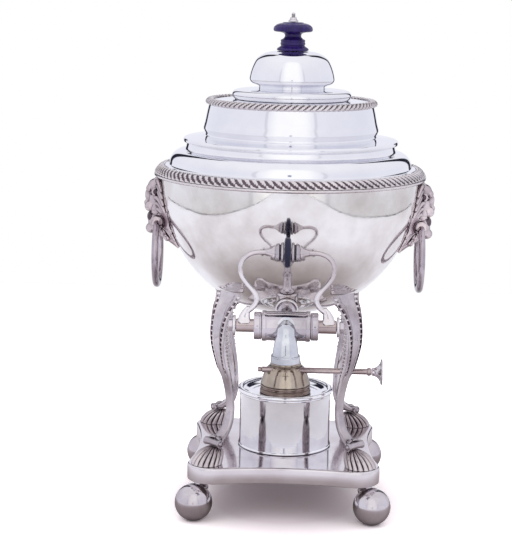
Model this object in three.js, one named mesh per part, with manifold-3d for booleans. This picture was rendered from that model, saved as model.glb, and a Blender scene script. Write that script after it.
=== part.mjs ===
import * as THREE from 'three';
import { mergeVertices } from 'three/addons/utils/BufferGeometryUtils.js';
import Module from 'manifold-3d';

// Tea urn on four legs, with a spirit lamp on its base plate.
// Millimetres, +Z up, the tap at the front towards -Y, standing on z = 0.

const wasm = await Module();
wasm.setup();

// Fits
const GAP = 0.3; // between a piece and what it seats on
const RUNNING = 0.35; // radial room of a piece that turns or slides
const SHEET = 1.2; // raised sheet of the cover and the lamp

// Ball feet
const BALL_RADIUS = 15;
const BALL_FLAT = 0.5; // depth of the flat that each ball stands on
const BALL_OFFSET = 71; // from the urn's axis, along X and along Y
const STEM_OFFSET = 66;
const STEM_RADIUS = 4.5;
const STEM_COLLAR_RADIUS = 6.5;
const BALL_BELOW_APRON = 1.5;

// Base plate
const BASE_HEIGHT = 13;
const BASE_SHEET = 2;
const BASE_CORNER_CENTRE = 57.5;
const BASE_CORNER_RADIUS = 19.5;
const BASE_WAIST = 70.5; // from the axis to the middle of each hollowed side
const BASE_EDGE_ROUND = 0.8;

// Bowl, half of a flattened ball
const BOWL_RADIUS = 105;
const BOWL_DEPTH = 113.5;
const BOWL_WALL = 1.5;
const BOWL_LIP = 7;
const BOWL_ABOVE_BASE = 112.5;

// Shoulder over the bowl, and its mouth
const SHOULDER_INSET = 7.3; // from the bowl's edge in to the shoulder's side
const SHOULDER_WALL = 1.6;
const SHOULDER_FOOT = 6.7; // flange under the border
const SHOULDER_COVE = 3.8; // spread of the side towards the border
const SHOULDER_SIDE = 9.5;
const SHOULDER_RISE = 10.8;
const SHOULDER_RUN = 12.4;
const MOUTH_INSET = 1.3; // from the shoulder's top in to its neck
const MOUTH_NECK = 5.9;

// Gadroon borders
const BODY_GADROON_OVERHANG = 5.1; // past the bowl's edge
const BODY_GADROON_LOBES = 112;
const BODY_GADROON_HEIGHT = 5.2; // over its seat
const BODY_GADROON_BEAD = 2.6; // plain bead under the lobes
const BODY_GADROON_HANG = 1.4; // below the bowl's edge
const COVER_GADROON_LOBES = 88;
const COVER_GADROON_WIDTH = 3.2;
const GADROON_DEPTH = 1.1;
const GADROON_SLANT = 0.8; // in lobes, from the inner edge to the outer

// Cover
const COVER_RIM_OVERHANG = 2.8; // past the mouth
const COVER_RIM_HEIGHT = 3.2;
const BEZEL_DEPTH = 8;
const BEZEL_WALL = 1.2;
const COLLAR_INSET = 16.1; // from the rim in to the collar
const COLLAR_TAPER = 4.4;
const COLLAR_HEIGHT = 27.2;
const COLLAR_EDGE = 3.2; // height of the sloped edge under the small gadroons
const COLLAR_EDGE_RUN = 3.6;
const TABLE_RISE = 0.9; // from that edge to the foot of the cushion
const CUSHION_RADIUS = 48;
const CUSHION_HEIGHT = 8.4;
const DOME_RADIUS = 34.2;
const DOME_HEIGHT = 29.8;
const DOME_CREASE_RADIUS = 26.4;

// Knob and its screw
const KNOB_RADIUS = 15.7;
const KNOB_HEIGHT = 22.6;
const KNOB_BASE_RADIUS = 12.7;
const KNOB_NECK_RADIUS = 6.5;
const KNOB_SCREW_RADIUS = 1.5;
const KNOB_SCREW_TIP = 7.6; // above the knob
const KNOB_SCREW_HEAD = 2; // inside the dome
const KNOB_NUT_RADIUS = 4;
const KNOB_NUT_HEIGHT = 3.6;
const KNOB_WASHER_RADIUS = 6;
const KNOB_WASHER_THICKNESS = 0.8;

// Legs, straps that stand on the diagonals
const LEG_TOP_RADIUS = 62;
const LEG_TOP_WIDTH = 30;
const LEG_KNEE_RADIUS = 74.4;
const LEG_KNEE_WIDTH = 16.4;
const LEG_CALF_DEPTH = 9.8;
const LEG_ANKLE_RADIUS = 62.6;
const LEG_ANKLE_WIDTH = 7.2;
const LEG_ANKLE_DEPTH = 5.6;
const TOE_RADIUS = 80;
const TOE_HEIGHT = 16; // axis of the scroll over the base plate
const TOE_ROLL_RADIUS = 3.5;
const TOE_ROLL_LENGTH = 17;

// Shells under the legs
const SHELL_CENTRE = 87;
const SHELL_RADIUS = 12.6;
const SHELL_RIBS = 10;

// Lion masks and ring handles
const RING_PIVOT_OUT = 2.3; // past the bowl's edge
const RING_PIVOT_BELOW_BOWL_TOP = 39.7;
const RING_RADIUS = 26.3;
const RING_THICKNESS = 5.3;
const MASK_WIDTH = 29;
const MASK_NOSE_OUT = 11.2; // past the ring's pivot
const MASK_DROP = 22; // beard below the pivot
const MASK_RISE = 35.5; // crown above the pivot

// Tap
const TAP_REACH = 123;
const TAP_ABOVE_BOWL_BOTTOM = 14.5;
const PIPE_RADIUS = 4.2;
const PIPE_BEAD = 1.2; // of the turned bead past the pipe
const PIPE_FLARE = 2.8; // at the pipe's two ends
const WATERWAY_RADIUS = 2.6;
const ROSE_RADIUS = 9.5;
const ROSE_EDGE = 2.6; // thickness of the rose over the pipe
const STRAINER_RADIUS = 9.4;
const STRAINER_DEPTH = 18;
const STRAINER_HOLE_RADIUS = 1.4;
const BARREL_RADIUS = 11.2;
const BARREL_HALF = 18;
const BARREL_BEAD = 3;
const BARREL_BEAD_RISE = 0.25;
const CAP_RADIUS = 10.45;
const CAP_LENGTH = 6;
const CAP_END = 1.35;
const SPIGOT_RADIUS = 9.2;
const PLUG_RADIUS = 7;
const SHAFT_RADIUS = 5.05;
const SHAFT_HALF = 37.4;
const STUD_RADIUS = 3;
const STUD_HALF = 43.6;
const WASHER_RADIUS = 7.6;
const WASHER_THICKNESS = 2;
const NUT_FLATS = 8.2;
const NUT_THICKNESS = 3;
const SPOUT_FORWARD = 13.5; // from the valve's axis to the spout's
const SPOUT_TOP_WIDTH = 11.8;
const SPOUT_END_WIDTH = 18;
const SPOUT_DROP = 24.6;
const SPOUT_FOOT_WIDTH = 20;
const SPOUT_FOOT_HEIGHT = 6;
const SPOUT_MOUTH_WIDTH = 14.5;
const SPOUT_MOUTH_DEPTH = 10;

// Lever of the tap, a lyre over the valve
const LEVER_HEIGHT = 55.7;
const LEVER_HALF_WIDTH = 35;
const LEVER_WIDE_AT = 43;
const LEVER_WAIST = 22.4;
const LEVER_WAIST_AT = 22;
const LEVER_FOOT_AT = 31.5;
const LEVER_FOOT_WIDTH = 9;
const LEVER_FOOT_THICKNESS = 6;
const LEVER_ROD_RADIUS = 1.8;
const LEVER_TRUMPET_RADIUS = 5.5;
const LEVER_TRUMPET_LENGTH = 7;
const BOSS_RADIUS = 7.5;
const BOSS_LENGTH = 6.4;
const DISC_RADIUS = 11.3;
const DISC_THICKNESS = 5.1;
const DISC_EDGE = 3.6;
const PIN_RADIUS = 1.4;
const PIN_HALF = 13.5;

// Spirit lamp
const LAMP_RADIUS = 37.6;
const LAMP_HEIGHT = 49;
const LAMP_ROLL = 2.1;
const LAMP_FOOT_BEAD = 0.9;
const LAMP_DISH_RADIUS = 28.5; // of the flat in the lamp's top
const LAMP_DISH_RISE = 2.8;
const LAMP_SKIRT = 4;
const BURNER_RADIUS = 20.5;
const BURNER_NECK_RADIUS = 15.5;
const BURNER_NECK_DEPTH = 8;
const BURNER_WALL = 1.6;
const BURNER_BASE_HEIGHT = 6.2;
const BURNER_DOME_HEIGHT = 25;
const WICK_RADIUS = 4;
const WICK_TUBE_WALL = 0.9;
const WICK_TUBE_DROP = 10; // into the reservoir
const WICK_TUBE_SHOWS = 1.2; // over the burner
const WICK_SHOWS = 1.6;
const WICK_LOW = 6; // over the reservoir's floor
const WINDER_HEIGHT = 14; // over the burner's base
const WINDER_RADIUS = 2.45;
const WINDER_LEFT = 23;
const WINDER_RIGHT = 79.6;
const WINDER_KNOB_RADIUS = 10.8;
const WINDER_KNOB_LENGTH = 8.6;
const PINION_RADIUS = 3.8;
const PINION_TEETH = 10;
const PINION_WIDTH = 4;

// Facets
const ROUND_LARGE = 32; // a multiple of eight, so that legs and bowl share facets
const ROUND_COVER = 24;
const ROUND_MEDIUM = 16;
const ROUND_SMALL = 12;
const BOWL_STEPS = 7;

// Heights, from the ground up
const ballCentreZ = BALL_RADIUS - BALL_FLAT;
const apronZ = ballCentreZ + BALL_RADIUS + BALL_BELOW_APRON;
const baseTopZ = apronZ + BASE_HEIGHT;
const bowlBottomZ = baseTopZ + BOWL_ABOVE_BASE;
const bowlTopZ = bowlBottomZ + BOWL_DEPTH;
const footTopZ = bowlTopZ + GAP + BOWL_WALL;
const shoulderTopZ = bowlTopZ + SHOULDER_SIDE + SHOULDER_RISE;
const mouthZ = shoulderTopZ + MOUTH_NECK;
const coverZ = mouthZ + GAP;
const collarTopZ = coverZ + COVER_RIM_HEIGHT + COLLAR_HEIGHT;
const coverTableZ = collarTopZ + COLLAR_EDGE + TABLE_RISE;
const cushionZ = coverTableZ + GAP;
const domeZ = cushionZ + CUSHION_HEIGHT;
const domeTopZ = domeZ + DOME_HEIGHT;
const knobZ = domeTopZ + GAP;
const knobTopZ = knobZ + KNOB_HEIGHT;

// Radii that follow the bowl's
const shoulderR = BOWL_RADIUS - SHOULDER_INSET;
const mouthR = shoulderR - SHOULDER_RUN - MOUTH_INSET;
const bodyGadroonR = BOWL_RADIUS + BODY_GADROON_OVERHANG;
const coverRimR = mouthR + COVER_RIM_OVERHANG;
const collarR = coverRimR - COLLAR_INSET;
const collarTopR = collarR - COLLAR_TAPER;
const ringPivotR = BOWL_RADIUS + RING_PIVOT_OUT;
const maskReach = ringPivotR + MASK_NOSE_OUT;

// Places of the tap, the lamp and the rings
const tapZ = bowlBottomZ + TAP_ABOVE_BOWL_BOTTOM;
const tapY = -TAP_REACH;
const lampZ = baseTopZ + GAP;
const lampTopZ = lampZ + LAMP_HEIGHT;
const burnerZ = lampTopZ - LAMP_ROLL - 2.4;
const winderZ = burnerZ + BURNER_BASE_HEIGHT + WINDER_HEIGHT;
const winderY = -(WICK_RADIUS + GAP + PINION_RADIUS);
const ringPivotZ = bowlTopZ - RING_PIVOT_BELOW_BOWL_TOP;

// The finished part is centred on its own footprint between tap and back
const frontReach = TAP_REACH + SPOUT_FORWARD + SPOUT_FOOT_WIDTH / 2;
const axisY = (frontReach - bodyGadroonR) / 2;

// Materials
const silver = [0xd2cecd, 0.14, 1];
const wornSilver = [0xbfb4ad, 0.24, 1];
const ebony = [0x1f1730, 0.32, 0];
const brass = [0xb7a27c, 0.26, 1];
const coppered = [0xb9a08f, 0.25, 1];
const cotton = [0xe8e0cf, 0.95, 0];

const urn = new THREE.Group();
urn.position.y = axisY;

function place(name, geometry, [color, roughness, metalness], parent = urn) {
  const material = new THREE.MeshStandardMaterial({ color, roughness, metalness });
  const mesh = new THREE.Mesh(geometry, material);
  mesh.name = name;
  parent.add(mesh);
  return mesh;
}

// Closed mesh with shared corners, no empty faces, and all faces pointing out
function closed(geometry) {
  geometry.deleteAttribute('normal');
  geometry.deleteAttribute('uv');
  const merged = mergeVertices(geometry, 1e-4);
  const corners = merged.index.array;
  const kept = [];
  for (let i = 0; i < corners.length; i += 3) {
    const [a, b, c] = [corners[i], corners[i + 1], corners[i + 2]];
    if (a !== b && b !== c && c !== a) kept.push(a, b, c);
  }
  if (signedVolume(merged.attributes.position, kept) < 0) kept.reverse();
  merged.setIndex(kept);
  return merged;
}

function signedVolume(position, corners) {
  const [a, b, c] = [new THREE.Vector3(), new THREE.Vector3(), new THREE.Vector3()];
  let sum = 0;
  for (let i = 0; i < corners.length; i += 3) {
    a.fromBufferAttribute(position, corners[i]);
    b.fromBufferAttribute(position, corners[i + 1]);
    c.fromBufferAttribute(position, corners[i + 2]);
    sum += a.dot(b.cross(c)) / 6;
  }
  return sum;
}

function solid(geometry) {
  const shape = closed(geometry);
  return new wasm.Manifold(
    new wasm.Mesh({
      numProp: 3,
      vertProperties: new Float32Array(shape.attributes.position.array),
      triVerts: new Uint32Array(shape.index.array),
    }),
  );
}

function geometryOf(manifold) {
  const mesh = manifold.getMesh();
  const geometry = new THREE.BufferGeometry();
  geometry.setAttribute('position', new THREE.BufferAttribute(mesh.vertProperties, 3));
  geometry.setIndex(new THREE.BufferAttribute(mesh.triVerts, 1));
  return geometry;
}

function join(...geometries) {
  return geometryOf(geometries.map(solid).reduce((whole, next) => whole.add(next)));
}

function cut(geometry, ...tools) {
  return geometryOf(tools.map(solid).reduce((whole, tool) => whole.subtract(tool), solid(geometry)));
}

function meet(geometry, other) {
  return geometryOf(solid(geometry).intersect(solid(other)));
}

// A profile of [radius, height] pairs turned about an axis; a loop is closed here
function revolve(profile, segments = ROUND_MEDIUM, axis = 'z') {
  const points = profile.map(([radius, height]) => new THREE.Vector2(Math.max(radius, 0), height));
  const open = points[0].x === 0 && points.at(-1).x === 0;
  if (!open) points.push(points[0].clone());
  const geometry = new THREE.LatheGeometry(points, segments);
  if (axis === 'z') geometry.rotateX(Math.PI / 2);
  if (axis === 'x') geometry.rotateZ(-Math.PI / 2);
  return closed(geometry);
}

function rod(radius, from, to, axis = 'z', segments = ROUND_SMALL) {
  return revolve([[0, from], [radius, from], [radius, to], [0, to]], segments, axis);
}

function tube(radius, bore, from, to, axis = 'z', segments = ROUND_SMALL) {
  return revolve([[bore, from], [radius, from], [radius, to], [bore, to]], segments, axis);
}

// Points on an ellipse, angles in degrees
function ellipse(centreR, centreZ, radiusR, radiusZ, from, to, steps) {
  const points = [];
  for (let i = 0; i <= steps; i++) {
    const angle = THREE.MathUtils.degToRad(from + ((to - from) * i) / steps);
    points.push([centreR + radiusR * Math.cos(angle), centreZ + radiusZ * Math.sin(angle)]);
  }
  return points;
}

// Skin over a row of sections with equal counts of points, closed by fans at both ends
function loft(sections) {
  const count = sections[0].length;
  const points = sections.flat();
  const faces = [];
  for (let s = 0; s < sections.length - 1; s++) {
    for (let i = 0; i < count; i++) {
      const j = (i + 1) % count;
      const [a, b] = [s * count + i, s * count + j];
      faces.push(a, b, b + count, a, b + count, a + count);
    }
  }
  for (const [start, turn] of [[0, 1], [(sections.length - 1) * count, 0]]) {
    const middle = new THREE.Vector3();
    for (let i = 0; i < count; i++) middle.addScaledVector(points[start + i], 1 / count);
    const hub = points.push(middle) - 1;
    for (let i = 0; i < count; i++) {
      const [a, b] = [start + i, start + ((i + 1) % count)];
      faces.push(...(turn ? [hub, b, a] : [hub, a, b]));
    }
  }
  return closed(meshOf(points, faces));
}

function meshOf(points, faces) {
  const geometry = new THREE.BufferGeometry().setFromPoints(points);
  geometry.setIndex(faces);
  return geometry;
}

// Smooth values through a list of stations, each a list of numbers
function smoothStations(stations, count) {
  const columns = stations[0].map(
    (_, column) => new THREE.SplineCurve(stations.map((row, i) => new THREE.Vector2(i, row[column]))),
  );
  const rows = [];
  for (let i = 0; i < count; i++) rows.push(columns.map((curve) => curve.getPoint(i / (count - 1)).y));
  return rows;
}

function box(width, depth, height, x, y, z) {
  return new THREE.BoxGeometry(width, depth, height).translate(x, y, z);
}

// Ball foot with the stem that holds it under the base plate
function ballFoot() {
  const flatAngle = THREE.MathUtils.radToDeg(Math.asin(ballCentreZ / BALL_RADIUS));
  const round = ellipse(0, ballCentreZ, BALL_RADIUS, BALL_RADIUS, -flatAngle, 90, 5).slice(0, -1);
  const ball = revolve([[0, 0], ...round, [0, ballCentreZ + BALL_RADIUS]], 12);
  ball.translate(BALL_OFFSET, BALL_OFFSET, 0);
  const stemTop = baseTopZ - BASE_SHEET - GAP;
  const stem = revolve(
    [
      [0, ballCentreZ],
      [STEM_COLLAR_RADIUS, ballCentreZ + BALL_RADIUS * 0.6],
      [STEM_COLLAR_RADIUS, apronZ - BALL_BELOW_APRON],
      [STEM_RADIUS, apronZ],
      [STEM_RADIUS, stemTop],
      [0, stemTop],
    ],
    8,
  );
  stem.translate(STEM_OFFSET, STEM_OFFSET, 0);
  return join(ball, stem);
}

// Square with big round corners and hollowed sides
function baseOutline(inset) {
  const corner = BASE_CORNER_CENTRE;
  const round = BASE_CORNER_RADIUS - inset;
  const step = BASE_WAIST - inset - corner;
  const side = (corner ** 2 + step ** 2 - round ** 2) / (2 * (round - step));
  const far = corner + step + side;
  const lean = Math.atan2(corner, far - corner);
  const shape = new THREE.Shape();
  for (let k = 0; k < 4; k++) {
    const turn = (k * Math.PI) / 2;
    const [cos, sin] = [Math.round(Math.cos(turn)), Math.round(Math.sin(turn))];
    const at = (x, y) => [x * cos - y * sin, x * sin + y * cos];
    shape.absarc(...at(corner, corner), round, turn - lean, turn + Math.PI / 2 + lean, false);
    shape.absarc(...at(0, far), side, turn - Math.PI / 2 + lean, turn - Math.PI / 2 - lean, true);
  }
  return shape;
}

function basePlate() {
  const outside = new THREE.ExtrudeGeometry(baseOutline(BASE_EDGE_ROUND), {
    depth: BASE_HEIGHT - 2 * BASE_EDGE_ROUND,
    bevelThickness: BASE_EDGE_ROUND,
    bevelSize: BASE_EDGE_ROUND,
    bevelSegments: 1,
    curveSegments: 3,
  });
  outside.translate(0, 0, apronZ + BASE_EDGE_ROUND);
  const inside = new THREE.ExtrudeGeometry(baseOutline(BASE_SHEET), {
    depth: BASE_HEIGHT,
    bevelEnabled: false,
    curveSegments: 3,
  });
  inside.translate(0, 0, apronZ - BASE_SHEET);
  return cut(outside, inside);
}

function bowlArc(inset, steps, stopZ = bowlTopZ) {
  const depth = BOWL_DEPTH - inset;
  const last = THREE.MathUtils.radToDeg(Math.asin((stopZ - bowlTopZ) / depth));
  const points = ellipse(0, bowlTopZ, BOWL_RADIUS - inset, depth, -90, last, steps);
  points[0][0] = 0;
  return points;
}

// Everything inside the bowl's surface, grown by a gap
function bowlVolume(grow) {
  const top = bowlTopZ + BOWL_WALL;
  return revolve([...bowlArc(-grow, BOWL_STEPS), [BOWL_RADIUS + grow, top], [0, top]], ROUND_LARGE);
}

// Height of the bowl's outside at a distance from the axis
function bowlZ(radius) {
  return bowlTopZ - BOWL_DEPTH * Math.sqrt(1 - (radius / BOWL_RADIUS) ** 2);
}

// Distance of the bowl's outside from the axis at a height
function bowlR(z) {
  return BOWL_RADIUS * Math.sqrt(1 - ((bowlTopZ - z) / BOWL_DEPTH) ** 2);
}

function bowl() {
  const lip = BOWL_RADIUS - BOWL_LIP;
  const under = bowlTopZ - BOWL_WALL;
  const outside = bowlArc(0, BOWL_STEPS);
  const inside = bowlArc(BOWL_WALL, BOWL_STEPS, under).reverse();
  const shell = revolve([...outside, [lip, bowlTopZ], [lip, under], ...inside], ROUND_LARGE);
  const pipeHole = rod(PIPE_RADIUS + GAP, -BOWL_RADIUS, -BOWL_WALL, 'y').translate(0, 0, tapZ);
  return cut(shell, pipeHole);
}

// Flange under the border, coved side, rounded shoulder and the neck of the mouth
function bodyShoulder() {
  const side = bowlTopZ + SHOULDER_SIDE;
  const foot = shoulderR + SHOULDER_FOOT;
  const cove = shoulderR + SHOULDER_COVE;
  const turn = shoulderR - SHOULDER_RUN;
  const neck = mouthR - SHOULDER_WALL;
  return revolve(
    [
      [shoulderR - SHOULDER_WALL, bowlTopZ + GAP],
      [foot, bowlTopZ + GAP],
      [foot, footTopZ],
      [cove, footTopZ],
      [cove, side - 2.1],
      [shoulderR + SHOULDER_COVE / 3, side - 1.6],
      [shoulderR + 0.2, side - 0.7],
      ...ellipse(turn, side, SHOULDER_RUN, SHOULDER_RISE, 0, 78, 4),
      [mouthR + 1.8, shoulderTopZ + MOUTH_NECK * 0.15],
      [mouthR + 0.5, shoulderTopZ + MOUTH_NECK / 2],
      [mouthR, mouthZ],
      [neck, mouthZ],
      [neck, shoulderTopZ - 0.4],
      ...ellipse(turn, side, SHOULDER_RUN - SHOULDER_WALL, SHOULDER_RISE - SHOULDER_WALL, 85, 0, 3),
    ],
    ROUND_LARGE,
  );
}

// Ring of points at one radius and height
function circleRow(radius, z, count, turn = 0) {
  const row = [];
  for (let i = 0; i < count; i++) {
    const angle = (i * 2 * Math.PI) / count + turn;
    row.push(new THREE.Vector3(radius * Math.cos(angle), radius * Math.sin(angle), z));
  }
  return row;
}

// Faces between two rows round the axis, which may have different counts of points
function stripFaces(low, lowStart, high, highStart) {
  const turned = low.length < high.length;
  const [many, few] = turned ? [high, low] : [low, high];
  const [manyStart, fewStart] = turned ? [highStart, lowStart] : [lowStart, highStart];
  const near = (i) => Math.round((i * few.length) / many.length) % few.length;
  const faces = [];
  many.forEach((_, i) => {
    const next = (i + 1) % many.length;
    const [a, b] = [manyStart + i, manyStart + next];
    const [c, d] = [fewStart + near(i), fewStart + near(next)];
    const pair = c === d ? [a, b, c] : [a, b, c, b, d, c];
    faces.push(...(turned ? pair.reverse() : pair));
  });
  return faces;
}

// Ring of slanted lobes, from a loop of [radius, height, share of the lobe];
// rows with no lobe have as many sides as the piece that they seat on
function gadroonRing(loop, lobes, sides) {
  const middleR = loop.reduce((sum, [radius]) => sum + radius, 0) / loop.length;
  const middleZ = loop.reduce((sum, [, z]) => sum + z, 0) / loop.length;
  const rows = loop.map(([radius, z, share], k) => {
    if (share === 0) return circleRow(radius, z, sides);
    const inward = new THREE.Vector2(middleR - radius, middleZ - z).normalize();
    const slant = (k * GADROON_SLANT * Math.PI) / (loop.length * lobes);
    const crests = circleRow(radius, z, lobes * 2, slant);
    const sink = GADROON_DEPTH * share;
    const valleys = circleRow(radius + inward.x * sink, z + inward.y * sink, lobes * 2, slant);
    return crests.map((point, i) => (i % 2 ? valleys[i] : point));
  });
  const faces = [];
  const starts = rows.map((_, k) => rows.slice(0, k).flat().length);
  rows.forEach((row, k) => {
    const up = (k + 1) % rows.length;
    faces.push(...stripFaces(row, starts[k], rows[up], starts[up]));
  });
  return closed(meshOf(rows.flat(), faces));
}

function bodyGadroons() {
  const inner = shoulderR + SHOULDER_COVE + GAP;
  const seat = footTopZ + GAP;
  const edge = BOWL_RADIUS + 2 * GAP;
  const wide = bodyGadroonR;
  const crest = seat + BODY_GADROON_HEIGHT;
  const low = bowlTopZ - BODY_GADROON_HANG;
  const bead = low + BODY_GADROON_BEAD;
  return gadroonRing(
    [
      [edge, seat, 0],
      [inner, seat, 0],
      [inner + 0.2, crest, 0],
      [wide - BODY_GADROON_OVERHANG * 0.7, crest - 1, 1],
      [wide - 0.6, bead + 1.2, 1],
      [wide, bead, 0],
      [wide - 0.2, bead - 1.9, 0],
      [wide - 1.7, low, 0],
    ],
    BODY_GADROON_LOBES,
    ROUND_LARGE,
  );
}

function coverRim() {
  const under = mouthR - SHOULDER_WALL - GAP;
  const top = coverZ + COVER_RIM_HEIGHT;
  return { under, top };
}

// Flange, collar wall and the flat table round the dome
function coverBase() {
  const { under, top } = coverRim();
  const hole = CUSHION_RADIUS - 6;
  const edgeTop = collarTopZ + COLLAR_EDGE;
  const waist = top + 3.6;
  const bulge = top + 8;
  return revolve(
    [
      [under, coverZ],
      [coverRimR - 0.8, coverZ],
      [coverRimR, coverZ + COVER_RIM_HEIGHT / 2],
      [coverRimR - 1.2, top],
      [collarR - 0.6, top + 2.2],
      [collarR - 1.4, waist],
      [collarR, bulge],
      [collarTopR, collarTopZ],
      [collarTopR - COLLAR_EDGE_RUN, edgeTop],
      [CUSHION_RADIUS + 1, coverTableZ],
      [hole, coverTableZ],
      [hole, coverTableZ - SHEET],
      [collarTopR - COLLAR_EDGE_RUN - 0.8, edgeTop - SHEET],
      [collarR - SHEET, bulge],
      [collarR - 2 * SHEET, top + 2],
      [under, top - SHEET],
    ],
    ROUND_COVER,
  );
}

function coverBezel() {
  const { under, top } = coverRim();
  const outside = under - GAP;
  const topZ = top - SHEET - GAP;
  return tube(outside, outside - BEZEL_WALL, coverZ - BEZEL_DEPTH, topZ, 'z', ROUND_COVER);
}

function coverGadroons() {
  const inner = collarTopR;
  const outer = inner + COVER_GADROON_WIDTH;
  const low = collarTopZ;
  const high = collarTopZ + COLLAR_EDGE;
  return gadroonRing(
    [
      [inner - COLLAR_EDGE_RUN + 0.4, high + 2 * GAP, 0.3],
      [inner + 0.45, low + 0.2, 0],
      [outer, low + 2 * GAP, 1],
      [inner + 0.6, high + 1.8, 1],
    ],
    COVER_GADROON_LOBES,
    ROUND_COVER,
  );
}

// Cushion step and dome, one raised sheet
function coverDome() {
  const foot = CUSHION_RADIUS - 1.5;
  const hole = KNOB_SCREW_RADIUS + RUNNING;
  const bulgeZ = domeZ + DOME_HEIGHT * 0.21;
  const outer = [
    [foot, cushionZ],
    [CUSHION_RADIUS - 0.4, cushionZ + 1.6],
    [CUSHION_RADIUS, cushionZ + 4],
    [CUSHION_RADIUS - 1.6, cushionZ + 6.4],
    [CUSHION_RADIUS - 7, cushionZ + 7.7],
    [DOME_CREASE_RADIUS + 3.6, domeZ],
    [DOME_CREASE_RADIUS, domeZ + 1],
    [DOME_RADIUS - 2.6, domeZ + 3],
    [DOME_RADIUS, bulgeZ],
    [DOME_RADIUS - 1.4, bulgeZ + 7.2],
    [DOME_RADIUS - 3.1, bulgeZ + 13],
    [DOME_RADIUS - 6.2, bulgeZ + 18],
    [DOME_RADIUS - 11.8, domeTopZ - 1.6],
    [KNOB_BASE_RADIUS + 1, domeTopZ],
    [hole, domeTopZ],
  ];
  const inner = [
    [hole, domeTopZ - SHEET],
    [KNOB_BASE_RADIUS + 0.6, domeTopZ - SHEET],
    [DOME_RADIUS - 8.2, bulgeZ + 17.2],
    [DOME_RADIUS - 4.8, bulgeZ + 12],
    [DOME_RADIUS - SHEET, bulgeZ + 0.4],
    [DOME_CREASE_RADIUS - 2, domeZ + 1.6],
    [DOME_CREASE_RADIUS - 1.2, domeZ - 0.4],
    [CUSHION_RADIUS - 3, cushionZ + 5.4],
    [foot - 1, cushionZ + SHEET],
    [foot - 1, cushionZ],
  ];
  return revolve([...outer, ...inner], ROUND_COVER);
}

function knob() {
  const hole = KNOB_SCREW_RADIUS + RUNNING;
  const wide = KNOB_RADIUS;
  const neck = KNOB_NECK_RADIUS;
  return revolve(
    [
      [hole, knobZ],
      [KNOB_BASE_RADIUS - 1, knobZ],
      [KNOB_BASE_RADIUS, knobZ + 1.2],
      [neck + 3, knobZ + 4.2],
      [neck + 3.3, knobZ + 7.6],
      [neck + 2, knobZ + 9.2],
      [neck, knobZ + 11.6],
      [neck + 2.6, knobZ + 14],
      [wide - 1.4, knobZ + 14.8],
      [wide, knobZ + 16.2],
      [wide - 0.9, knobZ + 18.6],
      [wide - 3.3, knobZ + 20.9],
      [neck + 1.5, knobTopZ - 0.3],
      [hole, knobTopZ],
    ],
    16,
  );
}

function knobScrew() {
  const head = domeTopZ - SHEET - KNOB_WASHER_THICKNESS - 2 * GAP;
  const tip = knobTopZ + KNOB_SCREW_TIP;
  return revolve(
    [
      [0, head - KNOB_SCREW_HEAD],
      [KNOB_NUT_RADIUS - 0.5, head - KNOB_SCREW_HEAD],
      [KNOB_NUT_RADIUS - 0.5, head],
      [KNOB_SCREW_RADIUS, head],
      [KNOB_SCREW_RADIUS, tip - KNOB_SCREW_RADIUS / 2],
      [0, tip],
    ],
    10,
  );
}

function knobWasher() {
  const top = domeTopZ - SHEET - GAP;
  return tube(KNOB_WASHER_RADIUS, KNOB_SCREW_RADIUS + GAP, top - KNOB_WASHER_THICKNESS, top);
}

function knobNut() {
  const low = knobTopZ + GAP;
  const top = low + KNOB_NUT_HEIGHT;
  const bore = KNOB_SCREW_RADIUS + GAP;
  return revolve(
    [
      [bore, low],
      [KNOB_NUT_RADIUS, low],
      [KNOB_NUT_RADIUS, low + KNOB_NUT_HEIGHT / 3],
      [bore + 1, low + KNOB_NUT_HEIGHT / 2],
      [bore + 0.8, top],
      [bore, top],
    ],
    12,
  );
}

// Section of a leg as [across, deep]: widest at the outer face, with a raised rib along each edge
const legSection = [
  [1, 0.5], [0.88, 0.98], [0.5, 0.72], [-0.5, 0.72], [-0.88, 0.98], [-1, 0.5], [-0.6, -0.86], [0.6, -0.86],
];

// Built outwards along +X, then turned to its corner
function leg() {
  const topZ = bowlZ(LEG_TOP_RADIUS);
  const height = topZ - baseTopZ;
  const level = (share) => baseTopZ + share * height;
  const stations = [
    [LEG_TOP_RADIUS - 4, topZ + 3.5, LEG_TOP_WIDTH, 3],
    [LEG_KNEE_RADIUS - 3.4, level(0.925), LEG_TOP_WIDTH * 0.76, 4.4],
    [LEG_KNEE_RADIUS, level(0.82), LEG_KNEE_WIDTH, LEG_CALF_DEPTH * 0.8],
    [LEG_KNEE_RADIUS - 1.8, level(0.675), LEG_KNEE_WIDTH * 0.72, LEG_CALF_DEPTH],
    [LEG_ANKLE_RADIUS + 4.2, level(0.5), LEG_ANKLE_WIDTH + 0.9, LEG_ANKLE_DEPTH + 1.2],
    [LEG_ANKLE_RADIUS, level(0.32), LEG_ANKLE_WIDTH, LEG_ANKLE_DEPTH],
    [LEG_ANKLE_RADIUS + 3, level(0.172), LEG_ANKLE_WIDTH + 1.2, LEG_ANKLE_DEPTH + 0.6],
    [TOE_RADIUS, baseTopZ + TOE_HEIGHT, TOE_ROLL_LENGTH - 2, 2 * TOE_ROLL_RADIUS - 1.4],
  ];
  const rows = smoothStations(stations, 14);
  const sections = rows.map(([radius, z, width, depth], i) => {
    const before = rows[Math.max(i - 1, 0)];
    const after = rows[Math.min(i + 1, rows.length - 1)];
    const along = new THREE.Vector2(after[0] - before[0], after[1] - before[1]).normalize();
    const out = new THREE.Vector3(-along.y, 0, along.x);
    return legSection.map(([across, deep]) =>
      new THREE.Vector3(radius, (across * width) / 2, z).addScaledVector(out, (deep * depth) / 2),
    );
  });
  const strap = cut(loft(sections), bowlVolume(GAP));
  return join(strap, toeRoll());
}

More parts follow.
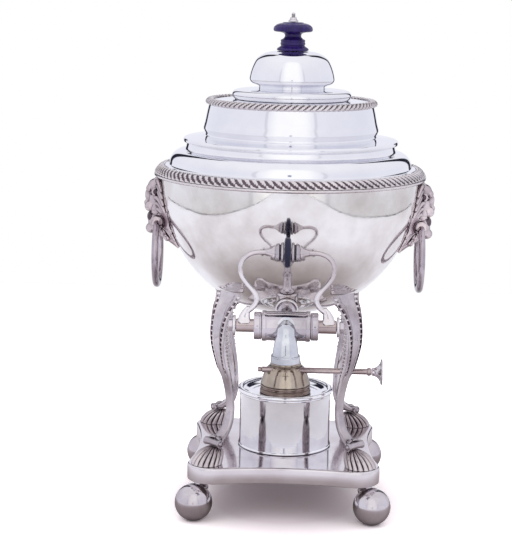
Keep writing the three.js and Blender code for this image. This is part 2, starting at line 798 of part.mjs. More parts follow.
// Scroll at the toe, a spool with a button at each end
function toeRoll() {
  const half = TOE_ROLL_LENGTH / 2;
  const round = TOE_ROLL_RADIUS;
  const end = [
    [round, half],
    [round * 0.5, half],
    [0, half + 0.8],
  ];
  const start = end.map(([radius, y]) => [radius, -y]).reverse();
  const spool = revolve([...start, [round * 0.8, 0], ...end], 8, 'y');
  return spool.translate(TOE_RADIUS, 0, baseTopZ + TOE_HEIGHT);
}

// Scallop shell: ribs fan out from under the scroll
function shellFoot() {
  const low = baseTopZ + GAP;
  const height = TOE_HEIGHT - TOE_ROLL_RADIUS - 2 * GAP;
  const count = SHELL_RIBS * 2;
  const levels = [0, 0.35, 0.7, 0.92];
  const sections = levels.map((share) => {
    const lean = (share * Math.PI) / 2;
    const round = SHELL_RADIUS * Math.cos(lean);
    const centre = THREE.MathUtils.lerp(SHELL_CENTRE, TOE_RADIUS, Math.sin(lean));
    const points = [];
    for (let i = 0; i < count; i++) {
      const angle = (i * 2 * Math.PI) / count;
      const radius = round * (i % 2 ? 0.9 : 1);
      const z = low + height * Math.sin(lean);
      points.push(new THREE.Vector3(centre + radius * Math.cos(angle), radius * Math.sin(angle), z));
    }
    return points;
  });
  return loft(sections);
}

// Section of the mask at one height: from the bowl round the cheeks to the nose
function maskSection(z, share, half) {
  const back = bowlR(z) - 2 * BOWL_WALL;
  const reach = THREE.MathUtils.lerp(bowlR(z), maskReach, share);
  const cheek = THREE.MathUtils.lerp(back, reach, 0.55);
  const outline = [[back, -half], [cheek, -half], [reach - half * 0.1, -half * 0.5], [reach, 0]];
  const mirrored = outline.slice(0, -1).reverse().map(([x, y]) => [x, -y]);
  return [...outline, ...mirrored].map(([x, y]) => new THREE.Vector3(x, y, z));
}

// From beard to crown: height as a share of the mask's drop or rise, then how far out the level
// stands between the bowl and the nose, and its share of the mask's width
const maskLevels = [
  [-1, 0.1, 0.2], // tip of the beard
  [-0.64, 0.17, 0.48],
  [-0.43, 0.62, 0.55], // jaw
  [-0.27, 0.91, 0.45], // lip, under the ring
  [-0.05, 0.93, 0.48],
  [0.25, 1, 0.55], // nose
  [0.34, 0.97, 0.48],
  [0.49, 0.68, 0.7], // eyes
  [0.61, 0.77, 0.85], // brow
  [0.79, 0.43, 0.85],
  [1, 0.04, 0.4], // crown
];

// Locks of the mane, four down each cheek
function maneLocks(half) {
  const middle = ringPivotZ + MASK_RISE / 3;
  const locks = [];
  for (const side of [-1, 1]) {
    for (let i = 0; i < 4; i++) {
      const angle = THREE.MathUtils.degToRad(60 - 42 * i);
      const z = middle + half * 1.1 * Math.sin(angle);
      const across = half * 0.76 * Math.max(Math.cos(angle), 0.5);
      const lock = new THREE.SphereGeometry(half * 0.5, 5, 4);
      lock.scale(0.8, 0.55, 1).rotateX(side * (Math.PI / 2 - angle));
      locks.push(lock.translate(bowlR(z) + half * 0.17, side * across, z));
    }
  }
  return locks;
}

// Lion mask at the side, built towards +X, with the ring's way through its mouth
function lionMask() {
  const half = MASK_WIDTH / 2;
  const head = loft(
    maskLevels.map(([share, out, width]) => {
      const z = ringPivotZ + share * (share < 0 ? MASK_DROP : MASK_RISE);
      return maskSection(z, out, half * width);
    }),
  );
  const round = RING_THICKNESS / 2 + RUNNING;
  const dip = (y) => RING_RADIUS - Math.sqrt(RING_RADIUS ** 2 - y ** 2);
  const mouth = [-1, -0.5, 0, 0.5, 1].map((share) => {
    const y = share * (half + 0.5);
    return [(round + dip(y)) / Math.cos(Math.PI / 8), y];
  });
  const bore = revolve([[0, mouth[0][1]], ...mouth, [0, mouth.at(-1)[1]]], 8, 'y');
  bore.translate(ringPivotR, 0, ringPivotZ);
  return cut(join(head, ...maneLocks(half)), bore, bowlVolume(GAP));
}

// Ring that hangs in the lion's mouth
function ringHandle() {
  const ring = new THREE.TorusGeometry(RING_RADIUS, RING_THICKNESS / 2, 6, 20);
  ring.rotateY(Math.PI / 2);
  return closed(ring.translate(ringPivotR, 0, ringPivotZ - RING_RADIUS));
}

// Front of the rose, where the bowl has come out as far as the rose's upper edge
function roseFaceY() {
  return -bowlR(tapZ + ROSE_RADIUS) - ROSE_EDGE;
}

// Inlet pipe from the barrel to the inside of the bowl, turned with a bead and two flares
function inletPipe() {
  const back = tapY + BARREL_RADIUS * 0.8;
  const face = roseFaceY() - GAP;
  const middle = (back + face) / 2;
  const flare = PIPE_RADIUS + PIPE_FLARE;
  const bead = PIPE_RADIUS + PIPE_BEAD;
  const pipe = revolve(
    [
      [0, back],
      [flare, back],
      [flare, back + PIPE_FLARE * 2],
      [PIPE_RADIUS, back + PIPE_FLARE * 3.5],
      [PIPE_RADIUS, middle - PIPE_BEAD * 3],
      [bead, middle - PIPE_BEAD],
      [bead, middle + PIPE_BEAD],
      [PIPE_RADIUS, middle + PIPE_BEAD * 3],
      [PIPE_RADIUS, face - PIPE_FLARE * 2.5],
      [flare, face - PIPE_FLARE],
      [flare, face],
      [PIPE_RADIUS, face],
      [PIPE_RADIUS, -bowlR(tapZ) / 2],
      [0, -bowlR(tapZ) / 2],
    ],
    ROUND_SMALL,
    'y',
  );
  return pipe.translate(0, 0, tapZ);
}

// Inlet pipe and valve barrel, one casting, bored for the plug and the water
function tapBody() {
  const bead = BARREL_RADIUS + BARREL_BEAD_RISE;
  const inboard = BARREL_HALF - BARREL_BEAD;
  const spigot = BARREL_HALF + CAP_LENGTH - CAP_END - GAP;
  const half = [
    [bead, inboard],
    [bead, BARREL_HALF],
    [SPIGOT_RADIUS, BARREL_HALF],
    [SPIGOT_RADIUS, spigot],
  ];
  const mirrored = half.map(([radius, x]) => [radius, -x]).reverse();
  const barrel = revolve([[0, -spigot], ...mirrored, ...half, [0, spigot]], ROUND_MEDIUM, 'x');
  barrel.translate(0, tapY, tapZ);
  const plugBore = rod(PLUG_RADIUS + RUNNING, -SHAFT_HALF, SHAFT_HALF, 'x', ROUND_MEDIUM);
  plugBore.translate(0, tapY, tapZ);
  const waterway = rod(WATERWAY_RADIUS, -TAP_REACH - SPOUT_FORWARD, 0, 'y', 8).translate(0, 0, tapZ);
  return cut(join(inletPipe(), barrel), plugBore, waterway, bowlVolume(-BOWL_WALL));
}

// Rose plate that covers the joint of pipe and bowl
function tapRose() {
  const bore = PIPE_RADIUS + GAP;
  const face = roseFaceY();
  const inside = -bowlR(tapZ) / 2;
  const rose = revolve(
    [
      [bore, face],
      [ROSE_RADIUS - ROSE_EDGE / 2, face],
      [ROSE_RADIUS, face + ROSE_EDGE / 2],
      [ROSE_RADIUS, inside],
      [bore, inside],
    ],
    ROUND_SMALL,
    'y',
  );
  return cut(rose.translate(0, 0, tapZ), bowlVolume(GAP));
}

// Strainer inside the bowl, over the pipe
function tapStrainer() {
  const round = STRAINER_RADIUS;
  const deep = STRAINER_DEPTH - bowlR(tapZ);
  const centreZ = tapZ + STRAINER_RADIUS / 3;
  const cup = revolve(
    [
      [0, deep],
      [round, deep],
      [round, -BOWL_RADIUS],
      [round - SHEET, -BOWL_RADIUS],
      [round - SHEET, deep - SHEET],
      [0, deep - SHEET],
    ],
    10,
    'y',
  );
  cup.translate(0, 0, centreZ);
  const holes = [];
  for (let i = 0; i < 5; i++) {
    const angle = (i * 2 * Math.PI) / 5;
    const [x, z] = [round * 0.55 * Math.cos(angle), round * 0.55 * Math.sin(angle)];
    const hole = rod(STRAINER_HOLE_RADIUS, deep - 2 * SHEET, deep + SHEET, 'y', 5);
    holes.push(hole.translate(x, 0, centreZ + z));
  }
  return meet(cut(cup, ...holes), bowlVolume(-BOWL_WALL - GAP));
}

// Cap screwed on one end of the barrel, drawn on the +X side
function barrelCap() {
  const from = BARREL_HALF + GAP;
  const end = BARREL_HALF + CAP_LENGTH;
  const inside = SPIGOT_RADIUS + GAP;
  return revolve(
    [
      [inside, from],
      [CAP_RADIUS, from],
      [CAP_RADIUS, end],
      [SHAFT_RADIUS + RUNNING, end],
      [SHAFT_RADIUS + RUNNING, end - CAP_END],
      [inside, end - CAP_END],
    ],
    ROUND_MEDIUM,
    'x',
  ).translate(0, tapY, tapZ);
}

// Plug with its waterway upright, and the shaft that carries the lever
function tapPlug() {
  const plugHalf = BARREL_HALF + CAP_LENGTH - CAP_END - RUNNING - GAP;
  const half = [
    [PLUG_RADIUS, plugHalf],
    [SHAFT_RADIUS, plugHalf],
    [SHAFT_RADIUS, SHAFT_HALF],
    [STUD_RADIUS, SHAFT_HALF],
    [STUD_RADIUS, STUD_HALF],
  ];
  const mirrored = half.map(([radius, x]) => [radius, -x]).reverse();
  const plug = revolve([[0, -STUD_HALF], ...mirrored, ...half, [0, STUD_HALF]], ROUND_SMALL, 'x');
  const waterway = rod(WATERWAY_RADIUS, -BARREL_RADIUS, BARREL_RADIUS, 'z', 8);
  return cut(plug, waterway).translate(0, tapY, tapZ);
}

function shaftWasher() {
  const from = SHAFT_HALF + GAP;
  const washer = tube(WASHER_RADIUS, STUD_RADIUS + GAP, from, from + WASHER_THICKNESS, 'x', ROUND_MEDIUM);
  return washer.translate(0, tapY, tapZ);
}

function shaftNut() {
  const from = SHAFT_HALF + WASHER_THICKNESS + 2 * GAP;
  const round = NUT_FLATS / Math.sqrt(3);
  const hexagon = rod(round, from, from + NUT_THICKNESS, 'x', 6);
  const bore = rod(STUD_RADIUS + GAP, from - GAP, from + NUT_THICKNESS + GAP, 'x');
  return cut(hexagon, bore).translate(0, tapY, tapZ);
}

// Octagon across a path that lies in the YZ plane
function octagon(centre, out, width, depth) {
  const points = [];
  for (let i = 0; i < 8; i++) {
    const angle = ((i + 0.5) * Math.PI) / 4;
    const round = 1 / Math.cos(Math.PI / 8);
    const point = new THREE.Vector3((Math.cos(angle) * round * width) / 2, 0, 0).add(centre);
    points.push(point.addScaledVector(out, (Math.sin(angle) * round * depth) / 2));
  }
  return points;
}

// Faceted spout: forward from the barrel, down, and wider to its foot band
function spoutSections(topWidth, endWidth, fromY, endZ) {
  const bend = SPOUT_FORWARD - BARREL_RADIUS + topWidth * 0.2;
  const bendY = tapY - SPOUT_FORWARD + bend;
  const bendZ = tapZ - bend;
  const up = new THREE.Vector3(0, 0, 1);
  const sections = [octagon(new THREE.Vector3(0, fromY, tapZ), up, topWidth, topWidth)];
  for (let i = 0; i <= 4; i++) {
    const angle = (i * Math.PI) / 8;
    const out = new THREE.Vector3(0, -Math.sin(angle), Math.cos(angle));
    const centre = new THREE.Vector3(0, bendY, bendZ).addScaledVector(out, bend);
    sections.push(octagon(centre, out, topWidth + i * 0.3, topWidth));
  }
  const down = new THREE.Vector3(0, -1, 0);
  sections.push(octagon(new THREE.Vector3(0, tapY - SPOUT_FORWARD, endZ), down, endWidth, endWidth));
  return sections;
}

function tapSpout() {
  const footLow = tapZ - SPOUT_DROP;
  const footTop = footLow + SPOUT_FOOT_HEIGHT;
  const mouthTop = footLow + SPOUT_MOUTH_DEPTH;
  const down = new THREE.Vector3(0, -1, 0);
  const across = (z, width) => octagon(new THREE.Vector3(0, tapY - SPOUT_FORWARD, z), down, width, width);
  const outside = loft(spoutSections(SPOUT_TOP_WIDTH, SPOUT_END_WIDTH, tapY, footTop - 0.5));
  const foot = loft([
    across(footTop, SPOUT_FOOT_WIDTH - 1.2),
    across(footTop - 1.2, SPOUT_FOOT_WIDTH),
    across(footLow, SPOUT_FOOT_WIDTH),
  ]);
  const passage = loft(spoutSections(2 * WATERWAY_RADIUS, SPOUT_MOUTH_WIDTH, tapY, mouthTop));
  const mouth = loft([across(mouthTop + 0.2, SPOUT_MOUTH_WIDTH), across(footLow - 1, SPOUT_MOUTH_WIDTH)]);
  const barrel = BARREL_RADIUS + BARREL_BEAD_RISE + GAP;
  const seat = rod(barrel, -SHAFT_HALF, SHAFT_HALF, 'x', ROUND_MEDIUM).translate(0, tapY, tapZ);
  return cut(join(outside, foot), passage, mouth, seat);
}

// Rod of the lyre: out from the disc, round, in to the waist and out again to the shaft
function leverPath(faceX, footZ) {
  const top = tapZ + LEVER_HEIGHT;
  const wideZ = tapZ + LEVER_WIDE_AT;
  const waistZ = tapZ + LEVER_WAIST_AT;
  const straight = LEVER_TRUMPET_LENGTH + 1;
  const stops = [
    [faceX + straight, top],
    [LEVER_HALF_WIDTH - 6, top],
    [LEVER_HALF_WIDTH, wideZ + 6],
    [LEVER_HALF_WIDTH, wideZ],
    [LEVER_HALF_WIDTH, wideZ - 11],
    [LEVER_WAIST, waistZ + 9],
    [LEVER_WAIST, waistZ],
    [LEVER_WAIST, waistZ - 5],
    [LEVER_FOOT_AT - 5, footZ + 3],
    [LEVER_FOOT_AT - 2, footZ],
  ].map(([x, z]) => new THREE.Vector3(x, tapY, z));
  const path = new THREE.CurvePath();
  path.add(new THREE.LineCurve3(new THREE.Vector3(faceX + 1, tapY, top), stops[0]));
  for (let i = 0; i < 9; i += 3) path.add(new THREE.CubicBezierCurve3(...stops.slice(i, i + 4)));
  return path;
}

// Foot of the lyre, a blade that widens to its eye on the shaft
function leverBlade(footZ) {
  const across = (x, z, width, thick) => [
    new THREE.Vector3(x - width / 2, tapY - thick / 2, z),
    new THREE.Vector3(x + width / 2, tapY - thick / 2, z),
    new THREE.Vector3(x + width / 2, tapY + thick / 2, z),
    new THREE.Vector3(x - width / 2, tapY + thick / 2, z),
  ];
  return loft([
    across(LEVER_FOOT_AT - 2.4, footZ + 1.4, LEVER_FOOT_WIDTH * 0.4, 3.2),
    across(LEVER_FOOT_AT - 0.6, footZ - 3, LEVER_FOOT_WIDTH * 0.67, 4.4),
    across(LEVER_FOOT_AT, tapZ + 1, LEVER_FOOT_WIDTH, LEVER_FOOT_THICKNESS),
  ]);
}

// One side of the lyre, drawn on the +X side
function leverArm() {
  const faceX = DISC_THICKNESS / 2 + BOSS_LENGTH + 2 * GAP;
  const end = faceX + LEVER_TRUMPET_LENGTH;
  const top = tapZ + LEVER_HEIGHT;
  const footZ = tapZ + SHAFT_RADIUS + 8;
  const section = new THREE.Shape().absarc(0, 0, LEVER_ROD_RADIUS, 0, 2 * Math.PI);
  const bent = new THREE.ExtrudeGeometry(section, {
    extrudePath: leverPath(faceX, footZ),
    steps: 16,
    curveSegments: 3,
    bevelEnabled: false,
  });
  const trumpet = revolve(
    [
      [0, faceX],
      [LEVER_TRUMPET_RADIUS, faceX],
      [LEVER_TRUMPET_RADIUS, faceX + 0.8],
      [LEVER_ROD_RADIUS * 1.6, faceX + LEVER_TRUMPET_LENGTH * 0.43],
      [LEVER_ROD_RADIUS, end],
      [0, end],
    ],
    8,
    'x',
  ).translate(0, tapY, top);
  const shaft = rod(SHAFT_RADIUS + GAP, 0, STUD_HALF, 'x', 16).translate(0, tapY, tapZ);
  const pinHole = rod(PIN_RADIUS + GAP, 0, PIN_HALF + GAP, 'x', 8).translate(0, tapY, top);
  return cut(join(bent, trumpet, leverBlade(footZ)), shaft, pinHole);
}

function leverPin() {
  return rod(PIN_RADIUS, -PIN_HALF, PIN_HALF, 'x', 8).translate(0, tapY, tapZ + LEVER_HEIGHT);
}

function leverBoss() {
  const from = DISC_THICKNESS / 2 + GAP;
  const end = from + BOSS_LENGTH;
  const bore = PIN_RADIUS + GAP;
  return revolve(
    [
      [bore, from],
      [BOSS_RADIUS, from],
      [BOSS_RADIUS, from + BOSS_LENGTH * 0.3],
      [BOSS_RADIUS - 1.8, from + BOSS_LENGTH * 0.42],
      [BOSS_RADIUS - 0.6, from + BOSS_LENGTH * 0.63],
      [LEVER_TRUMPET_RADIUS, end],
      [bore, end],
    ],
    ROUND_SMALL,
    'x',
  ).translate(0, tapY, tapZ + LEVER_HEIGHT);
}

function leverDisc() {
  const bore = PIN_RADIUS + GAP;
  const half = DISC_THICKNESS / 2;
  const edge = DISC_EDGE / 2;
  const flat = BOSS_RADIUS + 0.4;
  return revolve(
    [[bore, -half], [flat, -half], [DISC_RADIUS, -edge], [DISC_RADIUS, edge], [flat, half], [bore, half]],
    ROUND_MEDIUM,
    'x',
  ).translate(0, tapY, tapZ + LEVER_HEIGHT);
}

function lampReservoir() {
  const inside = LAMP_RADIUS - SHEET;
  const foot = LAMP_RADIUS + LAMP_FOOT_BEAD;
  const rollZ = lampTopZ - LAMP_ROLL;
  return revolve(
    [
      [0, lampZ],
      [foot, lampZ],
      [foot, lampZ + 1.6],
      [LAMP_RADIUS, lampZ + 2.6],
      ...ellipse(inside + 0.5, rollZ, LAMP_ROLL + 0.4, LAMP_ROLL, -50, 90, 3),
      [inside, lampTopZ - 0.8],
      [inside, lampZ + SHEET],
      [0, lampZ + SHEET],
    ],
    ROUND_COVER,
  );
}

// Dished plate inside the rim, with a skirt down into the reservoir
function lampTop() {
  const outside = LAMP_RADIUS - SHEET - GAP;
  const hole = BURNER_NECK_RADIUS + GAP;
  const dish = burnerZ - GAP;
  return revolve(
    [
      [hole, dish],
      [LAMP_DISH_RADIUS, dish],
      [outside - SHEET, dish + LAMP_DISH_RISE],
      [outside, dish + LAMP_DISH_RISE - 0.2],
      [outside, dish - LAMP_SKIRT],
      [outside - SHEET, dish - LAMP_SKIRT],
      [outside - 2 * SHEET, dish + LAMP_DISH_RISE / 4],
      [LAMP_DISH_RADIUS, dish - SHEET],
      [hole, dish - SHEET],
    ],
    ROUND_COVER,
  );
}

// Brass seat of the burner, with a neck through the lamp's top and a web for the wick tube
function burnerBase() {
  const neckLow = burnerZ - BURNER_NECK_DEPTH;
  const top = burnerZ + BURNER_BASE_HEIGHT;
  const webTop = burnerZ + BURNER_WALL;
  const tubeHole = WICK_RADIUS + RUNNING + WICK_TUBE_WALL + GAP;
  const wall = BURNER_NECK_RADIUS - BURNER_WALL;
  return revolve(
    [
      [tubeHole, burnerZ],
      [wall, burnerZ],
      [wall, neckLow],
      [BURNER_NECK_RADIUS, neckLow],
      [BURNER_NECK_RADIUS, burnerZ],
      [BURNER_RADIUS + 0.6, burnerZ],
      [BURNER_RADIUS + 0.6, burnerZ + BURNER_BASE_HEIGHT * 0.4],
      [BURNER_RADIUS - 0.4, burnerZ + BURNER_BASE_HEIGHT / 2],
      [BURNER_RADIUS, top],
      [BURNER_RADIUS - SHEET, top],
      [BURNER_RADIUS - 2 * SHEET, webTop],
      [tubeHole, webTop],
    ],
    ROUND_MEDIUM,
  );
}

// Outline of the burner's dome: shares of its radius and of its height
const burnerOutline = [
  [1, 0],
  [0.97, 0.12],
  [0.88, 0.38],
  [0.7, 0.62],
  [0.62, 0.66],
  [0.58, 0.88],
  [0.39, 1],
];

function burnerDome() {
  const low = burnerZ + BURNER_BASE_HEIGHT + GAP;
  const top = low + BURNER_DOME_HEIGHT;
  const hole = WICK_RADIUS + RUNNING + WICK_TUBE_WALL + GAP;
  const outer = burnerOutline.map(([wide, high]) => [
    wide * BURNER_RADIUS,
    low + high * BURNER_DOME_HEIGHT,
  ]);
  const inner = outer.map(([radius, z]) => [radius - SHEET, z]).slice(0, -1).reverse();
  const shell = revolve([...outer, [hole, top], [hole, top - SHEET], ...inner], ROUND_MEDIUM);
  const bore = rod(WINDER_RADIUS + RUNNING, -BURNER_RADIUS, BURNER_RADIUS, 'x', 8);
  return cut(shell, bore.translate(0, winderY, winderZ));
}

function wickTubeTop() {
  return burnerZ + BURNER_BASE_HEIGHT + GAP + BURNER_DOME_HEIGHT + WICK_TUBE_SHOWS;
}

function wickTube() {
  const bore = WICK_RADIUS + RUNNING;
  const shell = tube(bore + WICK_TUBE_WALL, bore, burnerZ - WICK_TUBE_DROP, wickTubeTop(), 'z', 14);
  const slot = box(PINION_WIDTH + 2 * GAP, 2 * WICK_RADIUS, 2 * PINION_RADIUS, 0, winderY, winderZ);
  return cut(shell, slot);
}

function wick() {
  return rod(WICK_RADIUS, lampZ + WICK_LOW, wickTubeTop() + WICK_SHOWS, 'z', 12);
}

// Shaft of the wick winder, with a button at its left end
function winderShaft() {
  const knobFace = WINDER_RIGHT - WINDER_KNOB_LENGTH;
  return revolve(
    [
      [0, -WINDER_LEFT],
      [WINDER_RADIUS - 0.5, -WINDER_LEFT],
      [WINDER_RADIUS, -WINDER_LEFT + 1],
      [WINDER_RADIUS, knobFace - 3],
      [WINDER_RADIUS + 1, knobFace - 2.4],
      [WINDER_RADIUS + 1, knobFace - GAP],
      [0, knobFace - GAP],
    ],
    12,
    'x',
  ).translate(0, winderY, winderZ);
}

// Trumpet at the right end
function winderKnob() {
  const from = WINDER_RIGHT - WINDER_KNOB_LENGTH;
  return revolve(
    [
      [0, from],
      [WINDER_RADIUS + 0.8, from],
      [WINDER_RADIUS + 1.4, from + WINDER_KNOB_LENGTH * 0.4],
      [WINDER_KNOB_RADIUS * 0.52, from + WINDER_KNOB_LENGTH * 0.65],
      [WINDER_KNOB_RADIUS, from + WINDER_KNOB_LENGTH * 0.81],
      [WINDER_KNOB_RADIUS, WINDER_RIGHT - 0.4],
      [0, WINDER_RIGHT + 0.6],
    ],
    16,
    'x',
  ).translate(0, winderY, winderZ);
}

// Toothed wheel beside the wick, on the shaft
function winderPinion() {
  const shape = new THREE.Shape();
  for (let i = 0; i < PINION_TEETH * 2; i++) {
    const radius = i % 2 ? PINION_RADIUS - 0.7 : PINION_RADIUS;
    const angle = (i * Math.PI) / PINION_TEETH;
    const [x, y] = [radius * Math.cos(angle), radius * Math.sin(angle)];
    if (i) shape.lineTo(x, y);
    else shape.moveTo(x, y);
  }
  const wheel = new THREE.ExtrudeGeometry(shape, { depth: PINION_WIDTH, bevelEnabled: false });
  wheel.rotateY(Math.PI / 2).translate(-PINION_WIDTH / 2, 0, 0);
  const bore = rod(WINDER_RADIUS + GAP, -PINION_WIDTH, PINION_WIDTH, 'x', 12);
  return cut(wheel, bore).translate(0, winderY, winderZ);
}

// The four corners, counted round from the back right
const corners = ['back_right', 'back_left', 'front_left', 'front_right'];
corners.forEach((corner, k) => {
  const spot = new THREE.Group();
  spot.rotation.z = (k * Math.PI) / 2;
  place(`ball_foot_${corner}`, ballFoot(), silver, spot);
  const diagonal = new THREE.Group();
  diagonal.rotation.z = Math.PI / 4;
  place(`leg_${corner}`, leg(), wornSilver, diagonal);
  place(`shell_foot_${corner}`, shellFoot(), silver, diagonal);
  spot.add(diagonal);
  urn.add(spot);
});

place('base_plate', basePlate(), silver);
place('bowl', bowl(), silver);
place('body_shoulder', bodyShoulder(), silver);
place('body_gadroon_border', bodyGadroons(), silver);

place('cover_base', coverBase(), silver);
place('cover_bezel', coverBezel(), silver);
place('cover_gadroon_border', coverGadroons(), silver);
place('cover_dome', coverDome(), silver);
place('cover_knob', knob(), ebony);
place('knob_screw', knobScrew(), silver);
place('knob_washer', knobWasher(), brass);
place('knob_nut', knobNut(), silver);

// Both sides: masks, rings and the halves of the tap's lever
for (const [side, turn] of [['right', 0], ['left', Math.PI]]) {
  const half = new THREE.Group();
  half.rotation.z = turn;
  place(`lion_mask_${side}`, lionMask(), wornSilver, half);
  place(`ring_handle_${side}`, ringHandle(), silver, half);
  urn.add(half);
}

place('tap_body', tapBody(), wornSilver);
place('tap_rose', tapRose(), wornSilver);
place('tap_strainer', tapStrainer(), brass);
place('tap_spout', tapSpout(), silver);
place('tap_plug', tapPlug(), wornSilver);
place('lever_disc', leverDisc(), ebony);
place('lever_pin', leverPin(), silver);

// Pieces of the tap that stand on both ends, turned about the tap's own upright
const sidePieces = [
  ['barrel_cap', barrelCap, silver],
  ['shaft_washer', shaftWasher, silver],
  ['shaft_nut', shaftNut, wornSilver],
  ['lever_arm', leverArm, silver],
  ['lever_boss', leverBoss, silver],
];
for (const [side, turn] of [['right', 0], ['left', Math.PI]]) {
  const half = new THREE.Group();
  half.position.y = tapY;
  half.rotation.z = turn;
  for (const [name, make, material] of sidePieces) {
    const mesh = place(`${name}_${side}`, make(), material, half);
    mesh.geometry.translate(0, -tapY, 0);
  }
  urn.add(half);
}

place('lamp_reservoir', lampReservoir(), silver);
place('lamp_top', lampTop(), silver);
place('burner_base', burnerBase(), brass);
place('burner_dome', burnerDome(), brass);
place('wick_tube', wickTube(), brass);
place('wick', wick(), cotton);
place('winder_shaft', winderShaft(), coppered);
place('winder_knob', winderKnob(), coppered);
place('winder_pinion', winderPinion(), brass);

export default urn;
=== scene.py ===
from math import asin, atan2, copysign, cos, degrees, hypot, pi, radians, sin, sqrt, tanh

import bmesh
import bpy
from mathutils import Matrix, Vector

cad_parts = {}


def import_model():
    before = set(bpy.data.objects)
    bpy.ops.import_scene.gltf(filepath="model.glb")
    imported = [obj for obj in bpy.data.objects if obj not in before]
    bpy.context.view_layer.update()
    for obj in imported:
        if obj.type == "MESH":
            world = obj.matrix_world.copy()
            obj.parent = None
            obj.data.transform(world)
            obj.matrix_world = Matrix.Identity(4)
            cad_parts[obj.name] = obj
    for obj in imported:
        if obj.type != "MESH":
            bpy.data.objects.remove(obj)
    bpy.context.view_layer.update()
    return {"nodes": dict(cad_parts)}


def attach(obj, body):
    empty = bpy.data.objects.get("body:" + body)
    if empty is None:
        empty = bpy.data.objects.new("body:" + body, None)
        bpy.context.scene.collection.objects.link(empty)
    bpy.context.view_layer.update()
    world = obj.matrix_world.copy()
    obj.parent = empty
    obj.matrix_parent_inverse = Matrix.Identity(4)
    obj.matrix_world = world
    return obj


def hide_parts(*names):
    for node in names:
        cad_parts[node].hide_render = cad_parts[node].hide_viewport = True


# Tea urn: smooth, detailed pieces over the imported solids. Sizes are in millimetres from the
# urn's own axis and from the table; Shape.put() turns them into metres in the frame.

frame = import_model()

MM = 0.001
AXIS_Y = 18.2  # where the urn's axis stands in the frame
PHOTO_W, PHOTO_H = 512, 538
FOCAL_PX = 1560.3  # focal length of the photograph, in its pixels
SENSOR = 36
DARK = (0.045, 0.034, 0.034)  # tarnish and painted shade in the hollows, painted shade towards outlines


def add_object(name, data):
    thing = bpy.data.objects.new(name, data)
    bpy.context.scene.collection.objects.link(thing)
    return thing


def photo_camera():
    """Camera of the photograph, a little to the right of the tap's own plane."""
    pitch, roll = radians(10.28), radians(1.06)
    around = Matrix.Rotation(radians(1.3), 3, "Z")
    forward = around @ Vector((-0.001, cos(pitch), -sin(pitch))).normalized()
    level = forward.cross(Vector((0, 0, 1))).normalized()
    upright = level.cross(forward)
    right = level * cos(roll) + upright * sin(roll)
    up = upright * cos(roll) - level * sin(roll)
    data = bpy.data.cameras.new("photo_camera")
    data.sensor_width = SENSOR
    data.sensor_fit = "AUTO"
    data.lens = FOCAL_PX / max(PHOTO_W, PHOTO_H) * SENSOR
    data.clip_start, data.clip_end = 0.05, 50
    camera = add_object("photo_camera", data)
    turn = Matrix((right, up, -forward)).transposed().to_4x4()
    place = around @ Vector((-24.9, -1260.8, 420.3)) + Vector((0, AXIS_Y, 0))
    camera.matrix_world = Matrix.Translation(place * MM) @ turn
    bpy.context.scene.camera = camera


photo_camera()


class Tree:
    """Nodes and links of one material or world."""

    def __init__(self, owner):
        owner.use_nodes = True
        self.nodes, self.links = owner.node_tree.nodes, owner.node_tree.links

    def fill(self, node, inputs):
        """Gives inputs, by name or number, a value or a link from a socket."""
        for key, value in dict(inputs).items():
            if isinstance(value, bpy.types.NodeSocket):
                self.links.new(value, node.inputs[key])
            else:
                node.inputs[key].default_value = value
        return node

    def new(self, kind, inputs=(), **settings):
        node = self.nodes.new("ShaderNode" + kind)
        for key, value in settings.items():
            setattr(node, key, value)
        return self.fill(node, inputs)

    def noise(self, scale, detail, stretch=None, roughness=0.5):
        """Noise in object space, so that it stays on the piece in every view."""
        place = self.new("TexCoord").outputs["Object"]
        if stretch:
            place = self.new("Mapping", {"Vector": place, "Scale": stretch}).outputs["Vector"]
        inputs = {"Vector": place, "Scale": scale, "Detail": detail, "Roughness": roughness}
        return self.new("TexNoise", inputs).outputs["Fac"]

    def ramp(self, source, stops):
        """Colour ramp over a value; stops are (place, colour)."""
        node = self.new("ValToRGB", {"Fac": source})
        elements = node.color_ramp.elements
        while len(elements) < len(stops):
            elements.new(0.5)
        for element, (place, color) in zip(elements, stops):
            element.position = place
            element.color = (*color, 1)
        return node.outputs["Color"]

    def spread(self, source, low, high, from_low=0.35, from_high=0.65, **settings):
        """A range of a value mapped to another range."""
        names = ("Value", "From Min", "From Max", "To Min", "To Max")
        inputs = zip(names, (source, from_low, from_high, low, high))
        return self.new("MapRange", inputs, **settings).outputs["Result"]

    def mix(self, share, under, over):
        """A share of a plain colour over a colour socket."""
        return self.new("Mix", {0: share, 6: under, 7: (*over, 1)}, data_type="RGBA").outputs[2]

    def math(self, kind, *values):
        return self.new("Math", enumerate(values), operation=kind).outputs[0]

    def by_camera(self, output, others, camera):
        """Output that shows one shader to the camera's own rays and another to all the rest."""
        ray = self.new("LightPath").outputs["Is Camera Ray"]
        shader = self.new("MixShader", {0: ray, 1: others, 2: camera}).outputs[0]
        self.fill(self.nodes[output], {"Surface": shader})

    def bump(self, shader, *layers):
        """Chain of bumps; a layer is (height, strength, distance in metres)."""
        inputs = {}
        for inputs["Height"], inputs["Strength"], inputs["Distance"] in layers:
            inputs["Normal"] = self.new("Bump", inputs).outputs["Normal"]
        self.fill(shader, {"Normal": inputs["Normal"]})


def new_material(name):
    material = bpy.data.materials.new(name)
    tree = Tree(material)
    return material, tree, tree.nodes["Principled BSDF"]


